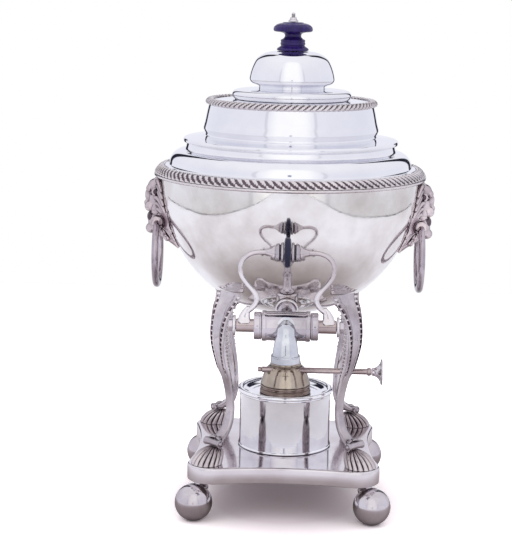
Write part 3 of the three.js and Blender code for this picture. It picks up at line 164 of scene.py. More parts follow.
def metal(name, bright, dull, rough, dents, tarnish_and_shade=None, reach=0.0018, outline_shade=0):
    """Polished plate: cloudy tone, uneven polish, hair scratches, slight dents, tarnish and painted shade
    in the hollows, painted shade towards the outline.
    """
    material, tree, shader = new_material(name)
    tone = tree.ramp(tree.noise(22, 5, roughness=0.6), [(0.36, dull), (0.62, bright)])
    polish = tree.spread(tree.noise(55, 4, (1, 1, 0.35)), rough * 0.7, rough * 1.45)
    if tarnish_and_shade:
        # Tarnish and painted shade: the colour darkens in the hollows that ambient occlusion finds
        hollow = tree.new("AmbientOcclusion", {"Distance": reach}, only_local=True, samples=6)
        depth = tree.spread(hollow.outputs["AO"], 1, 0, 0.45, 0.9)
        tone = tree.mix(depth, tone, tarnish_and_shade)
        polish = tree.math("MULTIPLY_ADD", depth, 0.3, polish)
    if outline_shade:
        # Painted shade: round metal darkens towards its outline
        facing = tree.new("LayerWeight", {"Blend": 0.5}).outputs["Facing"]
        tone = tree.mix(tree.spread(facing, 0, outline_shade, 0.42, 0.86), tone, DARK)
    tree.fill(shader, {"Metallic": 1, "Base Color": tone, "Roughness": polish})
    hair = tree.noise(900, 2, (0.15, 0.15, 1))
    tree.bump(shader, (tree.noise(14, 1), dents, 0.0008), (hair, 0.25, 0.00003))
    return material


def dark_wood(name, base, streak):
    """Ebony: near black with a fine long grain and a wax polish."""
    material, tree, shader = new_material(name)
    grain, rough = tree.noise(420, 4, (1, 1, 0.12)), 0.28
    tree.fill(shader, {
        "Base Color": tree.ramp(grain, [(0.35, base), (0.7, streak)]),
        "Roughness": tree.spread(grain, rough * 0.8, rough * 1.3),
        "Specular IOR Level": 0.3, "Coat Weight": 0.08, "Coat Roughness": 0.12,
    })
    tree.bump(shader, (grain, 0.2, 0.0001))
    return material


def cotton():
    material, tree, shader = new_material("cotton_wick")
    weave = tree.noise(1600, 2)
    tone = tree.ramp(weave, [(0.35, (0.62, 0.55, 0.42)), (0.65, (0.86, 0.81, 0.7))])
    tree.fill(shader, {"Base Color": tone, "Roughness": 0.95})
    tree.bump(shader, (weave, 0.6, 0.0004))
    return material


SILVER = metal("silver_polished", (0.9, 0.9, 0.93), (0.84, 0.84, 0.88), 0.05, 0.25)
SILVER_LAMP = metal("silver_lamp", (0.94, 0.94, 0.97), (0.8, 0.8, 0.84), 0.07, 0.3)
SILVER_BOWL = metal("silver_bowl", (0.91, 0.89, 0.89), (0.69, 0.65, 0.63), 0.07, 0.5)
SILVER_WARM = metal("silver_warm", (0.82, 0.78, 0.81), (0.6, 0.54, 0.56), 0.09, 0.5, DARK, 0.003, 0.75)
SILVER_KNUCKLE = metal("silver_knuckle", (0.6, 0.57, 0.62), (0.46, 0.42, 0.46), 0.1, 0.3, DARK, outline_shade=0.7)
SILVER_EDGE = metal("silver_border", (0.8, 0.75, 0.77), (0.68, 0.62, 0.63), 0.13, 0.2, DARK, 0.0022)
SILVER_CAST = metal("silver_cast", (0.7, 0.63, 0.64), (0.4, 0.34, 0.35), 0.17, 0.5, DARK, 0.0017, 0.6)
# Near-black metal for sheets of painted shade in channels, flutes and pits
PAINTED_SHADE = metal("silver_painted_shade", (0.16, 0.12, 0.14), (0.09, 0.07, 0.085), 0.4, 0.5)
SILVER_MASK = metal("silver_mask", (0.8, 0.7, 0.72), (0.5, 0.42, 0.45), 0.16, 0.8, (0.05, 0.03, 0.04),
                    0.0042, 0.7)
SILVER_TAP = metal("silver_tap", (0.66, 0.61, 0.66), (0.34, 0.3, 0.33), 0.08, 1, DARK, 0.003, 0.8)
SILVER_BAR = metal("silver_bar", (0.88, 0.84, 0.85), (0.76, 0.7, 0.71), 0.18, 0.2)
SILVER_SPOUT = metal("silver_spout", (0.74, 0.75, 0.8), (0.36, 0.37, 0.42), 0.06, 1, outline_shade=0.8)
SILVER_LEG = metal("silver_leg", (0.7, 0.65, 0.68), (0.4, 0.35, 0.38), 0.12, 0.8, DARK, 0.0009, 0.6)
SILVER_BALL = metal("silver_ball", (0.7, 0.66, 0.7), (0.5, 0.44, 0.47), 0.13, 0.6, outline_shade=0.35)
SILVER_RING = metal("silver_ring", (0.64, 0.58, 0.63), (0.36, 0.3, 0.34), 0.13, 0.5, outline_shade=0.6)
SILVER_TRAY = metal("silver_tray", (0.76, 0.72, 0.75), (0.64, 0.58, 0.61), 0.1, 0.5)
COPPERED = metal("silver_coppered", (0.58, 0.49, 0.49), (0.3, 0.23, 0.23), 0.1, 0.6, outline_shade=0.85)
BRASS = metal("brass_tarnished", (0.6, 0.52, 0.43), (0.3, 0.24, 0.2), 0.12, 0.3, (0.06, 0.04, 0.02),
              outline_shade=0.6)
BRONZE = metal("bronze_dark", (0.4, 0.32, 0.28), (0.2, 0.14, 0.12), 0.16, 0.3, (0.02, 0.013, 0.01), 0.004)
EBONY = dark_wood("ebony_knob", (0.016, 0.007, 0.075), (0.034, 0.015, 0.14))
EBONY_DISC = dark_wood("ebony_disc", (0.005, 0.005, 0.022), (0.014, 0.014, 0.055))
COTTON = cotton()


def circle(count, make):
    """What make returns at each of the angles that divide a full turn."""
    return [make(2 * pi * i / count) for i in range(count)]


class Shape:
    """Points and faces that several builders add to."""

    def __init__(self):
        self.points, self.faces = [], []

    def add(self, points, faces):
        start = len(self.points)
        self.points += [tuple(p) for p in points]
        self.faces += [tuple(i + start for i in face) for face in faces]
        return self

    def grid(self, rows, loop=False, caps=True):
        """Skin over rows of points, each a ring; with loop, the last row joins the first."""
        count = len(rows[0])
        faces = []
        for v in range(len(rows) if loop else len(rows) - 1):
            w = (v + 1) % len(rows)
            for u in range(count):
                t = (u + 1) % count
                faces.append((v * count + u, v * count + t, w * count + t, w * count + u))
        if caps and not loop:
            faces.append(tuple(range(count))[::-1])
            faces.append(tuple((len(rows) - 1) * count + i for i in range(count)))
        return self.add([p for row in rows for p in row], faces)

    def lathe(self, profile, segments, at=(0, 0, 0), axis="z"):
        """Profile of (radius, height) turned round an axis through a point."""
        def point(radius, height, angle):
            a, b = radius * cos(angle), radius * sin(angle)
            p = {"z": (a, b, height), "x": (height, a, b), "y": (b, height, a)}[axis]
            return p[0] + at[0], p[1] + at[1], p[2] + at[2]

        rows = [circle(segments, lambda angle: point(*row, angle)) for row in profile]
        open_ends = max(profile[0][0], profile[-1][0]) >= 1e-6
        return self.grid(rows, open_ends, caps=False)

    def ball(self, centre, size, segments, rings, turn=None):
        """Ellipsoid with its half sizes, turned by a matrix."""
        def point(lean, angle):
            p = Vector((
                size[0] * sin(lean) * cos(angle),
                size[1] * sin(lean) * sin(angle),
                size[2] * cos(lean),
            ))
            return (p if turn is None else turn @ p) + Vector(centre)

        leans = [pi * k / rings for k in range(rings + 1)]
        return self.grid([circle(segments, lambda angle: point(lean, angle)) for lean in leans], caps=False)

    def tube(self, path, radii, segments, flat=1.0, up=(0, 0, 1)):
        """Round or flattened bar along a path, with a radius at each point."""
        rows = []
        for i, point in enumerate(path):
            before = Vector(path[max(i - 1, 0)])
            after = Vector(path[min(i + 1, len(path) - 1)])
            along = (after - before).normalized()
            side = along.cross(Vector(up))
            side = side.normalized() if side.length > 1e-5 else Vector((1, 0, 0))
            out = side.cross(along).normalized()
            rows.append(circle(segments, lambda a: Vector(point) + (
                side * cos(a) * radii[i] + out * sin(a) * radii[i] * flat)))
        return self.grid(rows)

    def moved(self, move):
        """Copy with each point where move puts it."""
        other = Shape()
        other.points = [move(*p) for p in self.points]
        other.faces = list(self.faces)
        return other

    def turned(self, angle):
        """Copy turned round the urn's axis."""
        c, s = cos(radians(angle)), sin(radians(angle))
        return self.moved(lambda x, y, z: (x * c - y * s, x * s + y * c, z))

    def put(self, name, material, body, node=None, sharp=38):
        """New piece on a body, in place of a node of the solids."""
        mesh = bpy.data.meshes.new(name)
        points = [(x * MM, (y + AXIS_Y) * MM, z * MM) for x, y, z in self.points]
        mesh.from_pydata(points, [], self.faces)
        work = bmesh.new()
        work.from_mesh(mesh)
        bmesh.ops.remove_doubles(work, verts=work.verts, dist=1e-7)
        bmesh.ops.recalc_face_normals(work, faces=work.faces)
        work.to_mesh(mesh)
        work.free()
        for polygon in mesh.polygons:
            polygon.use_smooth = True
        mesh.set_sharp_from_angle(angle=radians(sharp))
        piece = add_object(name, mesh)
        mesh.materials.append(material)
        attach(piece, body)
        if node:
            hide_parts(node)


def smooth(points, steps):
    """Catmull-Rom curve through points of any dimension."""
    last = len(points) - 1
    out = []
    for i in range(last):
        p = [points[max(min(i + k, last), 0)] for k in (-1, 0, 1, 2)]
        for s in range(steps):
            t = s / steps
            out.append(tuple(
                0.5 * (2 * b + (c - a) * t + (2 * a - 5 * b + 4 * c - d) * t * t
                       + (3 * b - a - 3 * c + d) * t**3)
                for a, b, c, d in zip(*p)
            ))
    return out + [tuple(points[-1])]


def rounded(profile, radius, loop=True):
    """Profile with its corners rounded, so that edges catch the light."""
    out, steps = [], 3
    for i, corner in enumerate(profile):
        before, after = profile[i - 1], profile[(i + 1) % len(profile)]
        into = Vector((before[0] - corner[0], before[1] - corner[1]))
        away = Vector((after[0] - corner[0], after[1] - corner[1]))
        end_point = not loop and i in (0, len(profile) - 1)
        if end_point or into.length < 1e-6 or away.length < 1e-6 or corner[0] < 1e-6:
            out.append(corner)
            continue
        reach = min(radius, into.length * 0.45, away.length * 0.45)
        start = Vector(corner) + into.normalized() * reach
        end = Vector(corner) + away.normalized() * reach
        for s in range(steps + 1):
            t = s / steps
            p = start * (1 - t) ** 2 + Vector(corner) * 2 * t * (1 - t) + end * t * t
            out.append((p.x, p.y))
    return out


def arc(centre_r, centre_z, radius_r, radius_z, start, end, steps):
    """Part of an ellipse in a profile, between two angles in degrees."""
    angles = [radians(start + (end - start) * i / steps) for i in range(steps + 1)]
    return [(centre_r + radius_r * cos(a), centre_z + radius_z * sin(a)) for a in angles]


def mirrored(profile):
    """Profile that ends at its middle plane or before it, and its mirror image after it."""
    return profile + [(r, -x) for r, x in profile[::-1] if x]


# Outside of the bowl, half an ellipsoid
BOWL_R, BOWL_TOP, BOWL_DEPTH = 105, 270, 113.5


def bowl_r(z):
    """Radius of the bowl's outside at a height."""
    return BOWL_R * sqrt(max(1 - ((BOWL_TOP - min(z, BOWL_TOP)) / BOWL_DEPTH) ** 2, 0))


def bowl_out(z, aside):
    """How far out the bowl's outside stands at a height, a distance aside of its middle."""
    return sqrt(max(bowl_r(z) ** 2 - aside * aside, 0))


# Feet and base
BALL_R, BALL_AT, BALL_Z, STEM_AT = 15, 71, 14.5, 66
APRON_Z, BASE_TOP, BASE_SHEET = 31, 44, 2
CORNERS = [("back_right", 0), ("back_left", 90), ("front_left", 180), ("front_right", 270)]


def ball_foot(corner, turn):
    flat = degrees(asin(BALL_Z / BALL_R))
    ball = [(0, 0)] + arc(0, BALL_Z, BALL_R, BALL_R, -flat, 90, 40)[:-1] + [(0, BALL_Z + BALL_R)]
    stem = [(0, 24), (6.2, 24.5), (6.6, 26.5), (5.6, 28.4), (4.6, 29.6), (4.6, 41.6), (0, 41.6)]
    foot = Shape().lathe(ball, 72, (BALL_AT, BALL_AT, 0))
    foot.lathe(rounded(stem, 0.5, loop=False), 40, (STEM_AT, STEM_AT, 0))
    foot.turned(turn).put(f"{corner}_ball", SILVER_BALL, "body", f"ball_foot_{corner}")


def base_outline(inset, z):
    """Square with big round corners and hollowed sides, as in the solids."""
    per_corner, per_side = 28, 26
    corner, waist, round_r = 57.5, 70.5 - inset, 19.5 - inset
    step = waist - corner
    side = (corner**2 + step**2 - round_r**2) / (2 * (round_r - step))
    far = corner + step + side
    lean = atan2(corner, far - corner)
    points = []
    for k in range(4):
        turn = k * pi / 2
        c, s = round(cos(turn)), round(sin(turn))
        for i in range(per_corner):
            a = turn - lean + (pi / 2 + 2 * lean) * i / per_corner
            cx, cy = corner * c - corner * s, corner * s + corner * c
            points.append((cx + round_r * cos(a), cy + round_r * sin(a), z))
        for i in range(per_side):
            a = turn - pi / 2 + lean - 2 * lean * i / per_side
            points.append((-far * s + side * cos(a), far * c + side * sin(a), z))
    return points


def base_plate():
    under = BASE_TOP - BASE_SHEET
    rows = [base_outline(inset, z) for inset, z in (
        (BASE_SHEET, under), (BASE_SHEET, APRON_Z), (2, APRON_Z), (1.6, APRON_Z), (0.5, APRON_Z),
        (0.1, APRON_Z + 0.3), (0, APRON_Z + 0.9), (0, BASE_TOP - 1.6), (0.2, BASE_TOP - 0.9),
        (0.7, BASE_TOP - 0.25), (1.5, BASE_TOP), (2.6, BASE_TOP),
    )]
    plate = Shape().grid(rows, caps=False)
    count = len(rows[0])
    for row, z in ((rows[-1], BASE_TOP), (rows[0], under)):
        plate.add(row + [(0, 0, z)], [(i, (i + 1) % count, count) for i in range(count)])
    plate.put("base_tray", SILVER_TRAY, "body", "base_plate")


for corner, turn in CORNERS:
    ball_foot(corner, turn)
base_plate()


# Legs and shells
# Station of a leg: distance from the axis and height of the strap's middle, width, depth
LEG = [
    (58.6, 180.4, 33, 2.6), (63.6, 176.4, 29, 3.2), (67.6, 172.2, 26, 3.8), (70.4, 168, 23, 4.4),
    (72.8, 162.6, 19.4, 5.4), (74, 156.4, 17, 6.8), (74.4, 149.4, 15.4, 8.2), (73.9, 142, 13.8, 9.4),
    (72.8, 135.4, 12, 9.6), (71.4, 128.8, 10.4, 9.2), (69.8, 122.4, 9.3, 8.4), (67.4, 114.8, 8.6, 7.2),
    (65.2, 107.4, 8.1, 6.4), (63.3, 99.2, 7.7, 5.9), (62.2, 91, 7.4, 5.8), (61.9, 84, 7.5, 5.8),
    (62.9, 76.6, 8, 5.9), (65.6, 70, 9, 6), (69.6, 65, 10.6, 6), (74.4, 61.6, 12.8, 5.6),
    (79, 60, 14.6, 4.6),
]
# Half sections of the strap from its middle line outwards, with channels and without:
# across (share of the half width), deep (share of the half depth)
STRAP = [
    (0, 0.74), (0.3, 0.76), (0.47, 0.8), (0.53, 0.96), (0.6, 0.98), (0.64, 0.62), (0.66, 0.05),
    (0.86, 0.05), (0.885, 0.66), (0.92, 0.98), (0.97, 0.96), (1, 0.55), (0.86, -0.2), (0.62, -0.84),
    (0.3, -0.98), (0, -1),
]
PLAIN = [
    (0, 1), (0.3, 0.97), (0.47, 0.92), (0.53, 0.89), (0.6, 0.86), (0.64, 0.84), (0.7, 0.8),
    (0.78, 0.74), (0.86, 0.66), (0.92, 0.58), (0.97, 0.46), (1, 0.2), (0.92, -0.35), (0.66, -0.84),
    (0.3, -0.98), (0, -1),
]
BARS_AT = 0.76  # share of the half width
ON_BOWL_Z = 158  # above this the strap lies on the bowl
EASE = 9  # rows over which it comes away from the bowl
BEADS_LOW, BEADS_OVER = 112, 10  # the beads start at this height and are full this far above it
CHANNEL_LOW, CHANNEL_HIGH = 117, 176
FIRST_BAR, BARS_LOW = 4, 116


def leg_places():
    """Stations along the leg, with the direction out of the strap."""
    path = smooth(LEG, 6)
    places = []
    for i, station in enumerate(path):
        before, after = path[max(i - 1, 0)], path[min(i + 1, len(path) - 1)]
        along = Vector((after[0] - before[0], after[1] - before[1])).normalized()
        places.append((*station, Vector((-along.y, along.x))))
    return places


def on_leg(place, across, deep, shift=0):
    rho, z, width, depth, out = place
    offset = out * (deep * depth / 2)
    return rho + shift + offset.x, across * width / 2, z + offset.y


def leg_shape():
    """Strap of a leg towards +X, dark floors of painted shade in its channels, and the bars over them."""
    places = leg_places()
    sections, need = [], []
    for place in places:
        beaded = min(max((place[1] - BEADS_LOW) / BEADS_OVER, 0), 1)
        half = [
            (a * (1 - beaded) + c * beaded, b * (1 - beaded) + d * beaded)
            for (a, b), (c, d) in zip(PLAIN, STRAP)
        ]
        row = [on_leg(place, *point) for point in half + [(-a, b) for a, b in half[-2:0:-1]]]
        sections.append(row)
        short = max(bowl_r(z) + 0.35 - hypot(x, y) for x, y, z in row) if place[1] > ON_BOWL_Z else 0
        need.append(max(short, 0))
    count = len(need)
    shifts = [
        max(need[j] * (1 - abs(i - j) / EASE) for j in range(max(i - EASE + 1, 0), min(i + EASE, count)))
        for i in range(count)
    ]
    strap = Shape().grid([[(x + shift, y, z) for x, y, z in row] for row, shift in zip(sections, shifts)])
    # Dark sheets of painted shade on the floors of the channels
    dark = Shape()
    for side in (-1, 1):
        dark.grid([
            [on_leg(place, side * across, deep, shift)
             for across, deep in ((0.645, 0.12), (0.855, 0.12), (0.855, -0.1), (0.645, -0.1))][::-side]
            for place, shift in zip(places, shifts) if CHANNEL_LOW < place[1] < CHANNEL_HIGH
        ])
    bars = Shape()
    lengths = [0]
    for a, b in zip(places, places[1:]):
        lengths.append(lengths[-1] + hypot(a[0] - b[0], a[1] - b[1]))
    at = FIRST_BAR
    while True:
        k = next(i for i, length in enumerate(lengths) if length >= at)
        rho, z, width, depth, out = places[k]
        if z < BARS_LOW:
            break
        pitch = 2.3 + 0.1 * width
        turn = Matrix.Rotation(atan2(out.y, out.x), 3, "Y").inverted()
        part = (at - lengths[k - 1]) / (lengths[k] - lengths[k - 1])
        rho, z = (old + (new - old) * part for old, new in zip(places[k - 1][:2], (rho, z)))
        shift = shifts[k - 1] + (shifts[k] - shifts[k - 1]) * part
        for side in (-1, 1):
            centre = (rho + shift, side * BARS_AT * width / 2, z)
            bars.ball(centre, (0.49 * depth, 0.1 * width, pitch * 0.26), 14, 10, turn)
        at += pitch
    return strap, dark, bars


def toe_shape():
    """Scroll at the toe: a waisted roll with a raised button at each end and a leaf over it."""
    half = 8.5
    roll = mirrored([
        (0, -half - 1), (1.1, -half - 0.9), (1.7, -half - 0.4), (1.8, -half + 0.1), (2.3, -half + 0.25),
        (2.5, -half - 0.1), (3.3, -half + 0.1), (3.5, -half + 0.8), (3.1, -half + 2.2), (2.8, -3), (2.7, 0),
    ])
    shape = Shape().lathe(roll, 32, (80, 0, 60), "y")
    for side in (-1, 1):
        for rise, fan in ((0, 7.5), (1.6, 4.5)):
            leaf = [
                (76 + 3.2 * t, side * (1.5 + fan * t), 61.8 + rise + 2.4 * t - 3 * t * t)
                for t in [i / 8 for i in range(9)]
            ]
            shape.tube(leaf, [2.2, 2.3, 2.3, 2.2, 2, 1.8, 1.5, 1.1, 0.6], 12, 0.55)
    return shape


def shell_shape():
    """Scallop shell: deep ribs fan out from under the scroll to a scalloped edge."""
    ribs, per_rib, levels = 16, 12, 18
    low, height, radius_low = BASE_TOP + 0.3, 12.6, 12.6
    rows = []
    for k in range(levels + 1):
        share = k / levels
        lean = share * pi / 2
        bulge = cos(lean) ** 0.82
        centre = 87 + (78.6 - 87) * sin(lean) ** 1.3
        depth = 2.1 * (1 - 0.5 * share) * min(share * 4 + 0.55, 1)

        def point(angle):
            wave = abs(cos(angle * ribs / 2)) ** 0.7
            radius = radius_low * bulge - depth * (1 - wave) * (bulge > 0.08)
            lift = 0.7 * (1 - share) * (1 - wave) * (share > 0)
            z = low + height * sin(lean) ** 0.9 - lift
            return centre + radius * cos(angle), radius * sin(angle), max(z, low)

        rows.append(circle(ribs * per_rib, point))
    return Shape().grid(rows)


def stand():
    (leg, channels, bars), toe, shell = leg_shape(), toe_shape(), shell_shape()
    leg.add(toe.points, toe.faces)
    for corner, turn in CORNERS:
        for shape, name, material, node, sharp in (
            (leg, "leg_strap", SILVER_LEG, f"leg_{corner}", 50),
            (channels, "leg_channel_shade", PAINTED_SHADE, None, 38),
            (bars, "leg_bars", SILVER_BAR, None, 60),
            (shell, "shell", SILVER_CAST, f"shell_foot_{corner}", 60),
        ):
            shape.turned(turn + 45).put(f"{corner}_{name}", material, "body", node, sharp)


stand()


# Bowl, shoulder and borders
def bowl():
    outer = arc(0, BOWL_TOP, BOWL_R, BOWL_DEPTH, -90, 0, 64)
    outer[0] = (0, BOWL_TOP - BOWL_DEPTH)
    inner = arc(0, BOWL_TOP, BOWL_R - 1.5, BOWL_DEPTH - 1.5, -0.8, -90, 48)
    inner[-1] = (0, 158)
    profile = outer + [(98, BOWL_TOP), (98, BOWL_TOP - 1.5)] + inner
    Shape().lathe(profile, 144).put("bowl_polished", SILVER_BOWL, "body", "bowl", 30)


def shoulder():
    turn, side = 85.3, 279.5
    outer = [
        (96.1, 270.3), (104.4, 270.3), (104.4, 271.8), (101.5, 271.8), (101.5, 277), (101.2, 277.4),
        (99.8, 277.6), (98.8, 278), (98.1, 278.5), *arc(turn, side, 12.4, 10.8, 2, 80, 24),
        (86.4, 290.5), (85.6, 290.9), (85, 291.8), (84.5, 293.2), (84, 295.8), (83.7, 296.2), (82.7, 296.2),
        (82.4, 295.8),
    ]
    inner = [(82.4, 290)] + arc(turn, side, 10.8, 9.2, 80, 0, 16)
    Shape().lathe(outer + inner, 160).put("shoulder_polished", SILVER, "body", "body_shoulder", 30)


def gadroon_border(name, node, body, loop, count, slant, depth, lobe):
    """Slanted lobes over a dark core of painted shade; loop rows are (radius, height, share of depth,
    lean).

    lobe is a lobe's share of its pitch; the rest is the flute beside it.
    """
    per_lobe = 14
    middle = (sum(p[0] for p in loop) / len(loop), sum(p[1] for p in loop) / len(loop))
    rows, core = [], []
    segments = count * per_lobe
    for radius, z, share, lean in loop:
        inward = Vector((middle[0] - radius, middle[1] - z)).normalized()
        row = []
        for i in range(segments):
            angle = 2 * pi * i / segments
            phase = (i / per_lobe - slant * lean) % 1.0
            across = min(phase / lobe, 1)
            dip = 1 - sqrt(max(1 - (2 * across - 1) ** 2, 0)) ** 0.7
            r = radius + inward.x * depth * share * dip
            h = z + inward.y * depth * share * dip
            row.append((r * cos(angle), r * sin(angle), h))
        rows.append(row)
        sunk = depth * 0.5 if share > 0.55 else depth * (0.5 + 0.55 * (0.55 - share))
        core.append((radius + inward.x * sunk, z + inward.y * sunk))
    Shape().grid(rows, True).put(name, SILVER_EDGE, body, node, 75)
    # Dark core of painted shade, seen in the flutes between the lobes
    Shape().lathe(core, 160).put(name + "_core", PAINTED_SHADE, body)


def body_border():
    loop = [
        (105.6, 272.1, 0, 0), (101.8, 272.1, 0, 0), (101.85, 276.6, 0, 0), (102.1, 277.4, 0, 0),
        (102.6, 277.8, 0.1, 0), (103.4, 278, 0.6, 0.03), (104.6, 277.8, 0.9, 0.12), (106, 277, 1, 0.26),
        (107.4, 275.7, 1, 0.44), (108.6, 274.1, 1, 0.66), (109.4, 272.6, 0.95, 0.86),
        (109.7, 271.9, 0.7, 0.96), (109.5, 271.4, 0.1, 1), (109.1, 271.2, 0, 1), (109.7, 271, 0, 1),
        (110.1, 270.4, 0, 1), (110, 269.7, 0, 1), (109.5, 269.3, 0, 1), (108.8, 269.2, 0, 1),
        (108.6, 268.8, 0, 1), (107.9, 268.6, 0, 1), (106.4, 268.6, 0, 1), (105.7, 269.4, 0, 1),
    ]
    gadroon_border("body_gadroons", "body_gadroon_border", "body", loop, 112, 1.25, 2.3, 0.66)


bowl()
shoulder()
body_border()


# Cover and knob
def cover():
    top = 299.7
    rim = [
        (82.1, 296.5), (86, 296.5), (86.6, 296.8), (86.8, 297.6), (86.7, 298.6), (86.1, 299.4), (85.2, top),
    ]
    cove = smooth([
        (85.2, top), (80, 300.3), (74, 301.2), (70.2, 302), (69.3, 302.8), (69.4, 303.8), (70.3, 305.6),
        (70.8, 307.6), (70.2, 310.5), (69.4, 313.4), (68.1, 319.9), (66.9, 325.2), (66.4, 326.7),
    ], 6)
    table = [(66.3, 326.9), (62.7, 330.1), (61.5, 330.4), (56, 330.7), (49, 331), (42, 331)]
    under = [(42, 329.8), (56, 329.4), (61.5, 328.9), (65, 325.4), (68.2, 313), (69.3, 307.6), (68, 303.2),
             (69, 301), (82.1, 298.5)]
    shape = Shape().lathe(rim + cove[1:] + table + under, 160)
    shape.put("cover_step", SILVER, "cover", "cover_base", 30)
    bezel = [(80.6, 288.5), (81.8, 288.5), (81.8, 298.2), (80.6, 298.2)]
    Shape().lathe(rounded(bezel, 0.3), 120).put("cover_fit_ring", SILVER, "cover", "cover_bezel")


def cover_border():
    loop = [
        (66.75, 327.1, 0, 0), (67.8, 326.9, 0.3, 0), (68.8, 327.3, 0.9, 0.12), (69.3, 328.4, 1, 0.3),
        (69, 329.7, 1, 0.5), (68.1, 330.9, 1, 0.7), (66.8, 331.7, 1, 0.88), (65.2, 331.8, 0.9, 1.02),
        (64, 331.4, 0.5, 1.1), (63.2, 330.9, 0.1, 1.15), (63.1, 330.7, 0, 1.15),
    ]
    gadroon_border("cover_gadroons", "cover_gadroon_border", "cover", loop, 88, 1.3, 1.7, 0.84)


def dome():
    outer = smooth([
        (46.4, 331.3), (47.4, 332.4), (48, 334.1), (47.9, 335.9), (46.6, 337.6), (44.2, 338.6),
        (40.2, 339.1), (34, 339.5), (28.8, 339.8), (26.6, 340.6), (26.9, 341.6), (29.6, 342.7),
        (32.8, 344.3), (34.2, 346.7), (34, 349.3), (33, 353.6), (31.2, 358.5), (28.4, 363.4), (23.4, 367.1),
        (18.4, 368.8), (13.7, 369.5),
    ], 5)
    inner = [
        (1.85, 369.5), (1.85, 368.3), (13.3, 368.3), (22.6, 365.8), (27.2, 362.4), (30, 357.6), (32.5, 349),
        (32.4, 346.8), (25.4, 342.2), (25.3, 339.4), (43.8, 337.4), (46.4, 335.2), (45.6, 331.3),
    ]
    Shape().lathe(outer + inner, 128).put("dome_polished", SILVER, "cover", "cover_dome", 32)


def knob():
    base, bore, top = 369.8, 1.85, 22.6
    profile = smooth([(r, base + h) for r, h in (
        (11.7, 0), (12.7, 0.7), (12.2, 2), (10.2, 3.4), (9.4, 4.2), (9.9, 5), (9.9, 6.2), (9.5, 7),
        (9.9, 7.8), (9.4, 8.8), (8.2, 9.4), (6.9, 10.6), (6.5, 12), (7.2, 13.6), (9.8, 14.6), (13.6, 15),
        (15.3, 15.6), (15.7, 16.8), (15.2, 18.8), (13.2, 20.6), (10.6, 21.6), (8.6, 22), (8.2, 22.4),
        (6.2, top),
    )], 5)
    wood = Shape().lathe([(bore, base)] + profile + [(bore, base + top)], 72)
    wood.put("knob_turned", EBONY, "cover", "cover_knob", 45)
    nut = [(1.8, 392.7), (3.9, 392.7), (4, 393.2), (3.8, 393.9), (2.9, 394.4), (2.6, 395.2), (2.6, 396.2),
           (1.8, 396.3)]
    Shape().lathe(rounded(nut, 0.2), 32).put("knob_top_nut", SILVER_WARM, "cover", "knob_nut")
    thread = [(0, 364.9), (3.5, 364.9), (3.5, 366.9), (1.5, 366.9), (1.5, 392)]
    for z in [392 + 0.5 * k for k in range(14)]:
        thread += [(1.28, z + 0.15), (1.5, z + 0.4)]
    thread += [(1.3, 399.4), (0.8, 399.9), (0, 400)]
    Shape().lathe(thread, 24).put("knob_screw_thread", SILVER_WARM, "cover", "knob_screw")


cover()
cover_border()
dome()
knob()


# Lion masks and rings
PIVOT_R, PIVOT_Z = 107.3, 230.3
RING_R, RING_WIRE = 26.3, 2.65
RING_ROOM = 3.05  # radius kept clear round the middle of the ring's wire
BORDER_IN, BORDER_LOW = 104.5, 268.2  # the mask stays under the border outside this radius


